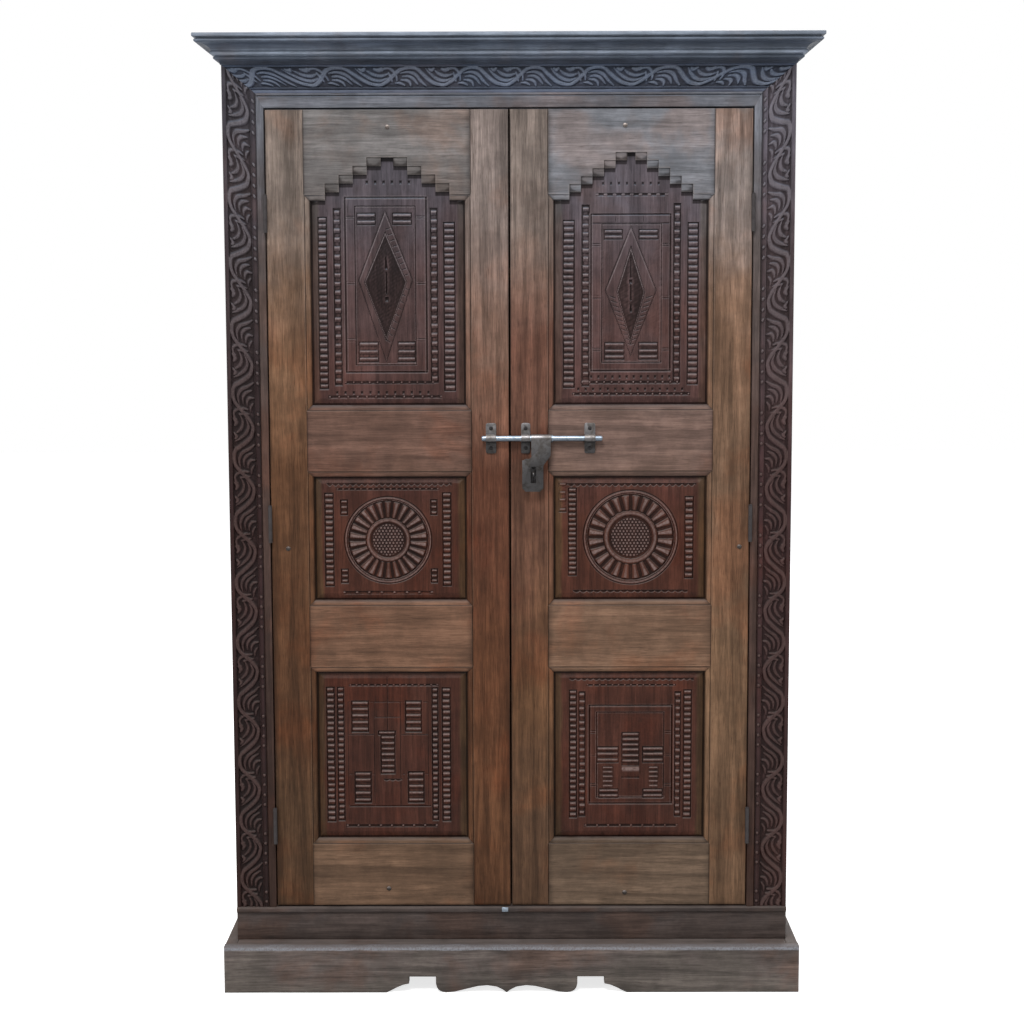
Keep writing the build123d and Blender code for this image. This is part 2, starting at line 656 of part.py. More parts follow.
def panel_blank(z, arch=None):
    """Tongued board with a bevelled field; a top panel's field runs on up into the stepped head."""
    low, high = z[0] - TONGUE, z[1] + TONGUE
    if arch:
        high += arch_height(arch)
    blank = board(widened(OPENING_X, TONGUE), (GROOVE_FRONT, GROOVE_BACK), (low, high))
    margin = FIELD_MARGIN + FIELD_BEVEL
    blank += frustum(
        widened(OPENING_X, -margin), widened(z, -margin), FIELD_BEVEL, GROOVE_FRONT, FIELD_FACE
    )
    if arch:
        steps = [
            (x - math.copysign(FIELD_MARGIN, x - DOOR_CENTRE), level - FIELD_MARGIN)
            for x, level in arch_points(arch)[2:-2]
        ]
        foot = z[1] - 2 * margin
        outline = [(steps[0][0], foot), *steps, (steps[-1][0], foot)]
        blank += front_prism(polygon(outline), (FIELD_FACE, GROOVE_FRONT))
    return blank


def line_ring(points_of, x, z, size):
    """A cut line along an outline: points_of gives the outline for a middle and a size."""
    inner = (size[0] - 2 * LINE_WIDTH, size[1] - 2 * LINE_WIDTH)
    return sunk(ring_face(points_of(x, z, size), points_of(x, z, inner)))


def double_frame(z, size):
    """Two cut lines with a plain band between them."""
    inner = (size[0] - 2 * FRAME_BAND, size[1] - 2 * FRAME_BAND)
    return [line_ring(centred, DOOR_CENTRE, z, each) for each in (size, inner)]


def top_panel(arch):
    """Two cut diamonds inside a double frame."""
    middle = (TOP_Z[0] + TOP_Z[1]) / 2 + TOP_FRAME_LIFT
    straight = (OPENING_WIDTH, TOP_Z[1] - TOP_Z[0])
    frame = [length - 2 * margin for length, margin in zip(straight, TOP_FRAME_MARGIN)]
    outer = [length - 2 * DIAMOND_MARGIN for length in frame]
    inner = [length * DIAMOND_INNER for length in outer]
    diamonds = [line_ring(diamond, DOOR_CENTRE, middle, size) for size in (outer, inner)]
    return panel_blank(TOP_Z, arch) - [*double_frame(middle, frame), *diamonds]


def petal(radius, angle):
    """One tapered petal, as a four-sided plan round the rosette's centre."""
    half = math.pi * PETAL_FILL / PETAL_COUNT
    corners = []
    for share, turn in ((PETAL_INNER, -1), (PETAL_OUTER, -1), (PETAL_OUTER, 1), (PETAL_INNER, 1)):
        bearing = angle + turn * half
        corners.append((radius * share * math.cos(bearing), radius * share * math.sin(bearing)))
    return polygon(corners)


def disc(radius):
    """A carver's circle, in two short straight cuts to a petal."""
    return RegularPolygon(radius, 2 * PETAL_COUNT)


def rosette_ground(radius):
    """What is sunk in a rosette: a rim line, and a ground that leaves petals and the hub's ring."""
    petals = [petal(radius, 2 * math.pi * number / PETAL_COUNT) for number in range(PETAL_COUNT)]
    hub_ring = disc(radius * HUB_RING[1]) - disc(radius * HUB_RING[0])
    line_inner = radius - ROSETTE_RIM
    rim = disc(radius) - disc(line_inner)
    return [rim, disc(line_inner - ROSETTE_RIM_GAP) - [*petals, hub_ring]]


def middle_panel(radius):
    """A rosette, with a low hub that stands on its sunk ground."""
    z = (MIDDLE_Z[0] + MIDDLE_Z[1]) / 2
    ground = [sunk(Pos(DOOR_CENTRE, z) * face) for face in rosette_ground(radius)]
    axis = Plane(origin=(DOOR_CENTRE, FIELD_FACE + CARVING_DEPTH / 2, z), z_dir=(0, -1, 0))
    hub = axis * Cone(radius * HUB, radius * HUB_CROWN, CARVING_DEPTH)
    return panel_blank(MIDDLE_Z) - ground + hub


def barred_block(x, z, size):
    """A sunk block that leaves bars across it."""
    pitch = size[1] / BAR_COUNT
    foot = z - size[1] / 2
    bars = [
        polygon(centred(x, foot + pitch * (number + 1 / 2), (size[0] + OVERSHOOT, BAR_HEIGHT)))
        for number in range(BAR_COUNT)
    ]
    return sunk(polygon(centred(x, z, size)) - bars)


def left_bottom_panel():
    """Five barred blocks, one in the middle and one at each corner of a square."""
    middle = (BOTTOM_Z[0] + BOTTOM_Z[1]) / 2
    blocks = [
        barred_block(DOOR_CENTRE + across * BLOCK_GRID, middle + up * BLOCK_GRID, BARRED_BLOCK)
        for across, up in ((-1, 1), (1, 1), (0, 0), (-1, -1), (1, -1))
    ]
    return panel_blank(BOTTOM_Z) - blocks


def right_bottom_panel():
    """A cross of a stem and two arms inside a double frame."""
    middle = (BOTTOM_Z[0] + BOTTOM_Z[1]) / 2
    arm = (CROSS_STEM[0] + CROSS_ARM[0]) / 2 + LINE_WIDTH
    blocks = [
        barred_block(DOOR_CENTRE + across, middle, size)
        for across, size in ((0, CROSS_STEM), (-arm, CROSS_ARM), (arm, CROSS_ARM))
    ]
    return panel_blank(BOTTOM_Z) - [*double_frame(middle, CROSS_FRAME), *blocks]


# ---------------------------------------------------------------- hinges
def hinge_leaf(foot, side, kept):
    """A left-hand hinge's leaf and the knuckles it keeps: side -1 is let into the jamb, 1 into the door."""
    low, high = foot, foot + HINGE_HEIGHT
    near = HINGE_X + side * HINGE_GAP / 2
    x = tuple(sorted((near, near + side * LEAF_THICKNESS)))
    leaf = board(x, (FRONT, FRONT + LEAF_REACH), (low, high))
    pitch = HINGE_HEIGHT / KNUCKLE_COUNT
    for number in kept:
        z = widened((low + number * pitch, low + (number + 1) * pitch), -KNUCKLE_PLAY / 2)
        leaf += plan_prism(Pos(HINGE_X, HINGE_Y) * RegularPolygon(KNUCKLE_RADIUS, KNUCKLE_SIDES), z)
        leaf += board(x, (HINGE_Y, FRONT), z)
    bore = Pos(HINGE_X, HINGE_Y) * Circle(PIN_RADIUS + PIN_PLAY)
    return leaf - plan_prism(bore, widened((low, high), OVERSHOOT))


def hinge_pin(foot):
    """Pin with a round head that rests on the top knuckle."""
    top = foot + HINGE_HEIGHT - KNUCKLE_PLAY / 2
    place = Pos(HINGE_X, HINGE_Y)
    shank = plan_prism(place * Circle(PIN_RADIUS), (foot, top))
    head = place * RegularPolygon(PIN_HEAD[0], KNUCKLE_SIDES)
    return shank + plan_prism(head, (top, top + PIN_HEAD[1]))


def hinges():
    frame_knuckles = range(0, KNUCKLE_COUNT, 2)
    door_knuckles = range(1, KNUCKLE_COUNT, 2)
    frame = [hinge_leaf(foot, -1, frame_knuckles) for foot in HINGE_FEET]
    door = [hinge_leaf(foot, 1, door_knuckles) for foot in HINGE_FEET]
    pins = [hinge_pin(foot) for foot in HINGE_FEET]
    return {
        "frame_hinges": group([*frame, *(mirrored(leaf) for leaf in frame)]),
        "hinge_pins": group([*pins, *(mirrored(pin) for pin in pins)]),
        "left_door_hinges": group(door),
        "right_door_hinges": group([mirrored(leaf) for leaf in door]),
    }


# ---------------------------------------------------------------- nails, screws and their holes
def fastener(x, z, seat, head, shank):
    """Driven in from the front: a head on the seat plane and a shank behind it."""
    rim = front_prism(Pos(x, z) * RegularPolygon(head[0], HEAD_SIDES), (seat - head[1], seat))
    return rim + front_prism(Pos(x, z) * RegularPolygon(shank[0], SHANK_SIDES), (seat, seat + shank[1]))


def shank_holes(places, shank, y):
    """What clears a fastener's shank, between two planes."""
    hole = RegularPolygon(shank[0] + SHANK_PLAY, SHANK_SIDES)
    return [front_prism(Pos(*place) * hole, y) for place in places]


def drill(piece, places, shank):
    """Blind holes from the door's face."""
    return piece - shank_holes(places, shank, (DOOR_FACE - OVERSHOOT, DOOR_FACE + shank[1]))


def nail_places(nails):
    """A nail's height is counted from the door's foot, or from its top where it is negative."""
    return [(DOOR_X[0] + across, DOOR_Z[0 if up > 0 else 1] + up) for across, up in nails]


def strap_screw_places(span):
    x = (span[0] + span[1]) / 2
    return [(x, BOLT_LEVEL + STRAP_SCREW_LEVEL), (x, BOLT_LEVEL - STRAP_SCREW_LEVEL)]


def staple_screw_places():
    z = BOLT_LEVEL - STAPLE_DROP
    offset = STAPLE_BASE[1] / 2 - STAPLE_SCREW_INSET
    return [(STAPLE_CENTRE, z + offset), (STAPLE_CENTRE, z - offset)]


def screws(places):
    return [fastener(x, z, DOOR_FACE - STRAP_THICKNESS, SCREW_HEAD, SCREW_SHANK) for x, z in places]


# ---------------------------------------------------------------- sliding bolt
def cross_circle(radius, x):
    """A round bar about the bolt's axis, along x."""
    return side_prism(Pos(ROD_Y, BOLT_LEVEL) * Circle(radius), x)


def strap(span):
    """Bracket bent over the rod, with a screwed tab above and below it."""
    y = (DOOR_FACE - STRAP_THICKNESS, DOOR_FACE)
    tab_z = (BOLT_LEVEL - STRAP_REACH, BOLT_LEVEL + STRAP_REACH)
    legs = board(span, (ROD_Y, DOOR_FACE), (BOLT_LEVEL - STRAP_OUTER, BOLT_LEVEL + STRAP_OUTER))
    shape = legs + cross_circle(STRAP_OUTER, span) + board(span, y, tab_z)
    shape -= board(span, (ROD_Y, DOOR_FACE), (BOLT_LEVEL - STRAP_INNER, BOLT_LEVEL + STRAP_INNER))
    shape -= cross_circle(STRAP_INNER, span)
    return shape - shank_holes(strap_screw_places(span), SCREW_SHANK, widened(y, OVERSHOOT))


def bolt_rod():
    rod = cross_circle(ROD_RADIUS, ROD_SPAN)
    rod = chamfer(rod.edges(), ROD_END_CHAMFER)
    for collar in COLLARS:
        rod += cross_circle(COLLAR_RADIUS, collar)
    return rod


def hasp():
    """Eye that turns on the rod, and a stepped plate with a slot for the staple."""
    y = (ROD_Y - EYE_OUTER, ROD_Y - EYE_OUTER + HASP_THICKNESS)
    step = BOLT_LEVEL - HASP_STEP
    end = BOLT_LEVEL - HASP_LENGTH
    slant = HASP_BLADE[0] + (HASP_NECK[0] - HASP_BLADE[0]) * HASP_SLANT
    outline = polygon(
        [
            (HASP_NECK[0], BOLT_LEVEL),
            (HASP_NECK[1], BOLT_LEVEL),
            (HASP_NECK[1], step + HASP_CORNER),
            (HASP_BLADE[1], step - 2 * HASP_CORNER),
            (HASP_BLADE[1], end + HASP_CORNER),
            (HASP_BLADE[1] - HASP_CORNER, end),
            (HASP_BLADE[0] + HASP_CORNER, end),
            (HASP_BLADE[0], end + HASP_CORNER),
            (HASP_BLADE[0], step - HASP_CORNER / 2),
            (slant, step),
            (HASP_NECK[0] - HASP_CORNER / 2, step),
            (HASP_NECK[0], step + HASP_CORNER / 2),
        ]
    )
    slot = rectangle(HASP_SLOT, (BOLT_LEVEL - HASP_SLOT_DROP[1], BOLT_LEVEL - HASP_SLOT_DROP[0]))
    shape = front_prism(outline - polygon(slot), y) + cross_circle(EYE_OUTER, KNUCKLE_SPAN)
    return shape - cross_circle(EYE_INNER, widened(KNUCKLE_SPAN, OVERSHOOT))


def staple():
    """Base plate with a rounded eye that stands out of it, for a padlock's shackle."""
    z = BOLT_LEVEL - STAPLE_DROP
    y = (DOOR_FACE - STRAP_THICKNESS, DOOR_FACE)
    x = (STAPLE_CENTRE - STAPLE_THICKNESS / 2, STAPLE_CENTRE + STAPLE_THICKNESS / 2)
    eye_y = DOOR_FACE - STAPLE_EYE_REACH
    base = board(
        (STAPLE_CENTRE - STAPLE_BASE[0] / 2, STAPLE_CENTRE + STAPLE_BASE[0] / 2),
        y,
        (z - STAPLE_BASE[1] / 2, z + STAPLE_BASE[1] / 2),
    )
    tongue = board(x, (eye_y, DOOR_FACE), (z - STAPLE_HALF, z + STAPLE_HALF))
    tongue += side_prism(Pos(eye_y, z) * Circle(STAPLE_HALF), x)
    tongue -= side_prism(Pos(eye_y, z) * Circle(STAPLE_EYE), widened(x, OVERSHOOT))
    return base + tongue - shank_holes(staple_screw_places(), SCREW_SHANK, widened(y, OVERSHOOT))


# ---------------------------------------------------------------- the whole
def door(prefix, arch, panels, nails, fixings, turn):
    """A door's wooden parts and nails; turn puts a left-hand piece on its side of the cabinet."""
    nodes = {}
    for name, piece in door_frame(arch).items():
        nailed = turn(drill(piece, nail_places(nails), NAIL_SHANK))
        nodes[f"{prefix}_{name}"] = drill(nailed, fixings, SCREW_SHANK)
    for name, panel in panels.items():
        nodes[f"{prefix}_{name}"] = turn(panel)
    driven = [fastener(x, z, DOOR_FACE, NAIL_HEAD, NAIL_SHANK) for x, z in nail_places(nails)]
    nodes[f"{prefix}_nails"] = turn(group(driven))
    return nodes


def doors():
    left_fixings = strap_screw_places(KEEPER_SPAN)
    right_fixings = strap_screw_places(MIDDLE_BRACKET_SPAN) + strap_screw_places(END_BRACKET_SPAN)
    right_fixings += staple_screw_places()
    left_panels = {
        "top_panel": top_panel(LEFT_ARCH),
        "middle_panel": middle_panel(LEFT_ROSETTE),
        "bottom_panel": left_bottom_panel(),
    }
    right_panels = {
        "top_panel": top_panel(RIGHT_ARCH),
        "middle_panel": middle_panel(RIGHT_ROSETTE),
        "bottom_panel": right_bottom_panel(),
    }
    nodes = door("left", LEFT_ARCH, left_panels, LEFT_NAILS, left_fixings, lambda piece: piece)
    nodes |= door("right", RIGHT_ARCH, right_panels, RIGHT_NAILS, right_fixings, mirrored)
    nodes["bolt_keeper"] = strap(KEEPER_SPAN)
    nodes["keeper_screws"] = group(screws(left_fixings))
    nodes["bolt_brackets"] = group([strap(MIDDLE_BRACKET_SPAN), strap(END_BRACKET_SPAN)])
    nodes["staple"] = staple()
    nodes["bracket_screws"] = group(screws(right_fixings))
    nodes["bolt_rod"] = bolt_rod()
    nodes["hasp"] = hasp()
    return nodes


def main():
    os.makedirs("parts", exist_ok=True)
    nodes = {
        **plinth(),
        **carcass(),
        **shelves(),
        **threshold(),
        **face_frame(),
        **crown(),
        **hinges(),
        **doors(),
    }
    for name, shape in nodes.items():
        export_step(shape, f"parts/{name}.step")


main()
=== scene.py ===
import json
import math

import bmesh
import bpy
import numpy as np
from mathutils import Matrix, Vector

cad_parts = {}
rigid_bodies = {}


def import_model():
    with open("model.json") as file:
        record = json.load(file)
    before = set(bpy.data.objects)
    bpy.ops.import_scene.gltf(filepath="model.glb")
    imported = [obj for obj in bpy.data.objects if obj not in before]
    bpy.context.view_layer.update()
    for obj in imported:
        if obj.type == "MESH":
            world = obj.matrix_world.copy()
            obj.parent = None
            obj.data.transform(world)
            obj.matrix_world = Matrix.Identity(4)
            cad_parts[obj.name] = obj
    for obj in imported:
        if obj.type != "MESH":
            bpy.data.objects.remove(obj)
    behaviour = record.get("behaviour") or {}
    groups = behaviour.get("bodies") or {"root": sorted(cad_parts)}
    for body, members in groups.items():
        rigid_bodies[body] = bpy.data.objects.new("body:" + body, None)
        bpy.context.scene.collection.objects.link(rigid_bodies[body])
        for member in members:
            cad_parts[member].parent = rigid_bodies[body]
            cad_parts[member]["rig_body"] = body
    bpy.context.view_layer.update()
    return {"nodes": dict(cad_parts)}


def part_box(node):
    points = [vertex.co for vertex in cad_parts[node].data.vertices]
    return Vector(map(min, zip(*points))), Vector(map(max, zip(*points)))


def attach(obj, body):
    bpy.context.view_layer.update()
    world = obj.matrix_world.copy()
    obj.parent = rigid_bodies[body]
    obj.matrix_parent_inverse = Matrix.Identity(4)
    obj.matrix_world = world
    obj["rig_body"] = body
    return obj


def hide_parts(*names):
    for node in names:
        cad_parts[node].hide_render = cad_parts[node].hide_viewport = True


# Looks of the carved two-door cabinet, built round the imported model.
# Lengths are in millimetres until a mesh is made, and MM turns them into metres.
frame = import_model()
MM = 0.001


def span_of(node):
    """A CAD node's (low, high) along x, y and z, in millimetres."""
    low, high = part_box(node)
    return [(low[axis] / MM, high[axis] / MM) for axis in range(3)]


# ---------------------------------------------------------------- sizes
EASE = 1.4  # worn radius of a board's edges
JOINT_EASE = 1.0  # where two parts of a door's frame meet
HAIR = 0.08  # width of a wall that is nearly square to the face
STICKING = 12.0  # width of the moulding round a door's openings
STICKING_TOP = 1.0
STICKING_DEPTH = 8.0
STICKING_QUIRK = 1.5
QUIRK_INNER = 9.4
QUIRK_MIDDLE = 10.7
LEFT_ARCH = dict(steps=5, tread=28.2, rise=17.2, crown=25.6)
RIGHT_ARCH = dict(steps=6, tread=23.2, rise=15.8, crown=17.0)
ARCH_BLOCK_SINK = 2.2
ARCH_BLOCK_BEVEL = 4.0
FIELD_MARGIN = 2.0
FIELD_BEVEL = 12.0
FIELD_RISE = 4.0
CARVING_DEPTH = 2.6
BEAD_STRIP = 10.0
OUTER_FILLET = 8.0
FRIEZE_FILLET = 4.0
VINE_DEPTH = 4.8
VINE_RUB = 0.45  # wear on the vine's crests
VINE_PERIOD = 125.0
VINE_WIDTH = 47.0

FRONT = span_of("architrave_left")[1][0]
JAMB_OUTER = span_of("architrave_right")[0][0]
HALF_WIDTH = span_of("architrave_right")[0][1]
FRAME_BACK = span_of("kick_board")[1][1]
FRIEZE_Z = span_of("frieze")[2]
DOORWAY_HALF = span_of("jamb_right")[0][0]
DOORWAY_Z = (span_of("threshold")[2][1], span_of("door_stop")[2][1])
DOOR_X = (span_of("left_outer_stile")[0][0], span_of("left_inner_stile")[0][1])
DOOR_Y = span_of("left_outer_stile")[1]
DOOR_Z = span_of("left_outer_stile")[2]
OPENING_X = (span_of("left_outer_stile")[0][1], span_of("left_inner_stile")[0][0])
OPENING_WIDTH = OPENING_X[1] - OPENING_X[0]
BOTTOM_Z = (span_of("left_bottom_rail")[2][1], span_of("left_lower_rail")[2][0])
MIDDLE_Z = (span_of("left_lower_rail")[2][1], span_of("left_lock_rail")[2][0])
TOP_Z = (span_of("left_lock_rail")[2][1], span_of("left_top_rail")[2][0])
OPENINGS = (BOTTOM_Z, MIDDLE_Z, TOP_Z)
FIELD_Y = span_of("left_middle_panel")[1][0]
PANEL_BACK = span_of("left_middle_panel")[1][1]


# ---------------------------------------------------------------- curves and noise
def soft(x):
    x = np.clip(x, 0, 1)
    return x * x * (3 - 2 * x)


def ripple(u, v, wave, seed):
    """Smooth waves of about that length, from -1 to 1."""
    rng = np.random.default_rng(seed)
    total = 0
    for _ in range(6):
        bearing, phase = rng.uniform(0, 2 * math.pi, 2)
        pace = 2 * math.pi / wave * rng.uniform(0.5, 1.6)
        total = total + np.sin(pace * (u * math.cos(bearing) + v * math.sin(bearing)) + phase)
    return total / 6


def inset(U, V, u, v):
    """Distance in from the nearest edge of the rectangle u by v, negative outside it."""
    return np.minimum(np.minimum(U - u[0], u[1] - U), np.minimum(V - v[0], v[1] - V))


def eased(distance, radius):
    """How far a rounded edge lies under the face, at a distance in from the edge."""
    inside = np.clip(radius - distance, 0, radius)
    return radius - np.sqrt(radius**2 - inside**2)


def evenly(low, high, step, margin=0.0):
    """Places from low to high but for a margin, as near to the step as comes out even."""
    return np.linspace(low + margin, high - margin, max(2, round((high - low) / step) + 1))


def lines(low, high, step, marks=(), reach=0.0, fine=1.0):
    """Grid lines at an even step, closer by each mark, with a hair's breadth each side of the mark."""
    found = [evenly(low, high, step)]
    found.append([low + EASE * share for share in (0.15, 0.45, 1)])
    found.append([high - EASE * share for share in (0.15, 0.45, 1)])
    for mark in marks:
        found.append([mark - HAIR / 2, mark + HAIR / 2])
        if reach:
            found.append(mark + np.arange(fine, reach, fine))
            found.append(mark - np.arange(fine, reach, fine))
    together = np.unique(np.concatenate(found).round(4))
    together = together[(together >= low) & (together <= high)]
    apart = np.concatenate([[True], np.diff(together) > HAIR / 2])
    return together[apart]


def blurred(field, reach):
    """Mean over a square of 2 reach + 1 grid lines."""
    for axis in (0, 1):
        pad = [(reach + 1, reach) if each == axis else (0, 0) for each in (0, 1)]
        total = np.cumsum(np.pad(field, pad, mode="edge"), axis=axis)
        length = field.shape[axis]
        upper = np.take(total, np.arange(2 * reach + 1, 2 * reach + 1 + length), axis=axis)
        field = (upper - np.take(total, np.arange(length), axis=axis)) / (2 * reach + 1)
    return field


def curve_through(points, steps=6):
    """A smooth line through points (Catmull-Rom)."""
    p = np.array([points[0], *points, points[-1]], float)
    t = np.linspace(0, 1, steps, endpoint=False)[:, None]
    pieces = []
    for a, b, c, d in zip(p, p[1:], p[2:], p[3:]):
        square, cube = 2 * a - 5 * b + 4 * c - d, 3 * b - a - 3 * c + d
        pieces.append(0.5 * (2 * b + (c - a) * t + square * t**2 + cube * t**3))
    return np.concatenate([*pieces, p[-1:]])


def arc_through(start, middle, end, steps):
    """Points on the circle through three points."""
    (ax, ay), (bx, by), (cx, cy) = start, middle, end
    d = 2 * (ax * (by - cy) + bx * (cy - ay) + cx * (ay - by))
    a, b, c = ax * ax + ay * ay, bx * bx + by * by, cx * cx + cy * cy
    ox = (a * (by - cy) + b * (cy - ay) + c * (ay - by)) / d
    oy = (a * (cx - bx) + b * (ax - cx) + c * (bx - ax)) / d
    angles = np.unwrap([math.atan2(y - oy, x - ox) for x, y in (start, middle, end)])
    turn = np.linspace(angles[0], angles[2], steps)
    radius = math.hypot(ax - ox, ay - oy)
    return [(ox + radius * math.cos(t), oy + radius * math.sin(t)) for t in turn]


# ---------------------------------------------------------------- materials
class Nodes:
    """Builds the node tree of a material or of the world."""

    def __init__(self, owner):
        owner.use_nodes = True
        self.tree = owner.node_tree
        self.tree.nodes.clear()

    def add(self, kind, inputs=(), **settings):
        node = self.tree.nodes.new(kind)
        for key, value in settings.items():
            setattr(node, key, value)
        for key, value in dict(inputs).items():
            if isinstance(value, bpy.types.NodeSocket):
                self.tree.links.new(value, node.inputs[key])
            else:
                node.inputs[key].default_value = value
        return node

    def noise(self, vector, scale, detail=4.0, roughness=0.55, distortion=0.0):
        inputs = {"Vector": vector, "Scale": scale, "Detail": detail}
        inputs.update({"Roughness": roughness, "Distortion": distortion})
        return self.add("ShaderNodeTexNoise", inputs).outputs["Fac"]

    def maths(self, operation, a, b=0.0, clamp=False):
        return self.add("ShaderNodeMath", {0: a, 1: b}, operation=operation, use_clamp=clamp).outputs[0]

    def times(self, a, b):
        return self.maths("MULTIPLY", a, b)

    def ramp(self, value, low, high, out_low=0.0, out_high=1.0):
        inputs = {"Value": value, "From Min": low, "From Max": high}
        inputs.update({"To Min": out_low, "To Max": out_high})
        return self.add("ShaderNodeMapRange", inputs, interpolation_type="SMOOTHSTEP").outputs[0]

    def mix(self, amount, a, b, blend="MIX"):
        inputs = {0: amount, 6: colour(a), 7: colour(b)}
        return self.add("ShaderNodeMix", inputs, data_type="RGBA", blend_type=blend).outputs[2]

    def tinted(self, shade, tint):
        return self.mix(1.0, shade, tint, "MULTIPLY")

    def levels(self, value, stops):
        """A colour for each level, blended between them."""
        node = self.add("ShaderNodeValToRGB", {0: value})
        node.color_ramp.interpolation = "EASE"
        elements = node.color_ramp.elements
        while len(elements) < len(stops):
            elements.new(0.5)
        for element, (level, shade) in zip(elements, sorted(stops)):
            element.position = level
            element.color = colour(shade)
        return node.outputs[0]

    def stretched(self, vector, axis, share):
        """Squeezes one axis, so that a pattern over it is drawn out along that axis."""
        scale = [1.0, 1.0, 1.0]
        scale[axis] = share
        return self.add("ShaderNodeMapping", {"Vector": vector, "Scale": scale}).outputs[0]

    def finish_channels(self):
        """What finish_mesh wrote: wear with painted highlights, hollows with dirt and painted shade, upward
        facing, tone and paint.
        """
        finish = self.add("ShaderNodeAttribute", attribute_name="finish").outputs
        paint = self.add("ShaderNodeAttribute", attribute_name="paint").outputs["Color"]
        wear_and_highlight, cavity, above = self.add("ShaderNodeSeparateColor", {0: finish["Color"]}).outputs
        return wear_and_highlight, cavity, above, finish["Alpha"], paint

    def surface(self, inputs, height, strength, distance):
        bump = self.add("ShaderNodeBump", {"Height": height, "Strength": strength, "Distance": distance})
        shader = self.add("ShaderNodeBsdfPrincipled", {**inputs, "Normal": bump.outputs[0]})
        self.add("ShaderNodeOutputMaterial", {"Surface": shader.outputs[0]})


def colour(value):
    return value if isinstance(value, bpy.types.NodeSocket) else (*value, 1.0)


X, Y, Z = range(3)
GRAIN_ALONG = 0.055  # how far the grain is drawn out along the board
CHECK_ALONG = 0.03  # how far the fine cracks are
SCRATCH_ALONG = 0.08  # how far the scratches of metal are
HEIGHT_SPAN = 2.0  # metres of height that a colour's levels cover
PORE_TINT = (0.3, 0.27, 0.25)
CHECK_TINT = (0.34, 0.3, 0.28)
RED_TINT = (1.22, 0.86, 0.68)
SCRATCH_TINT = (0.6, 0.6, 0.62)


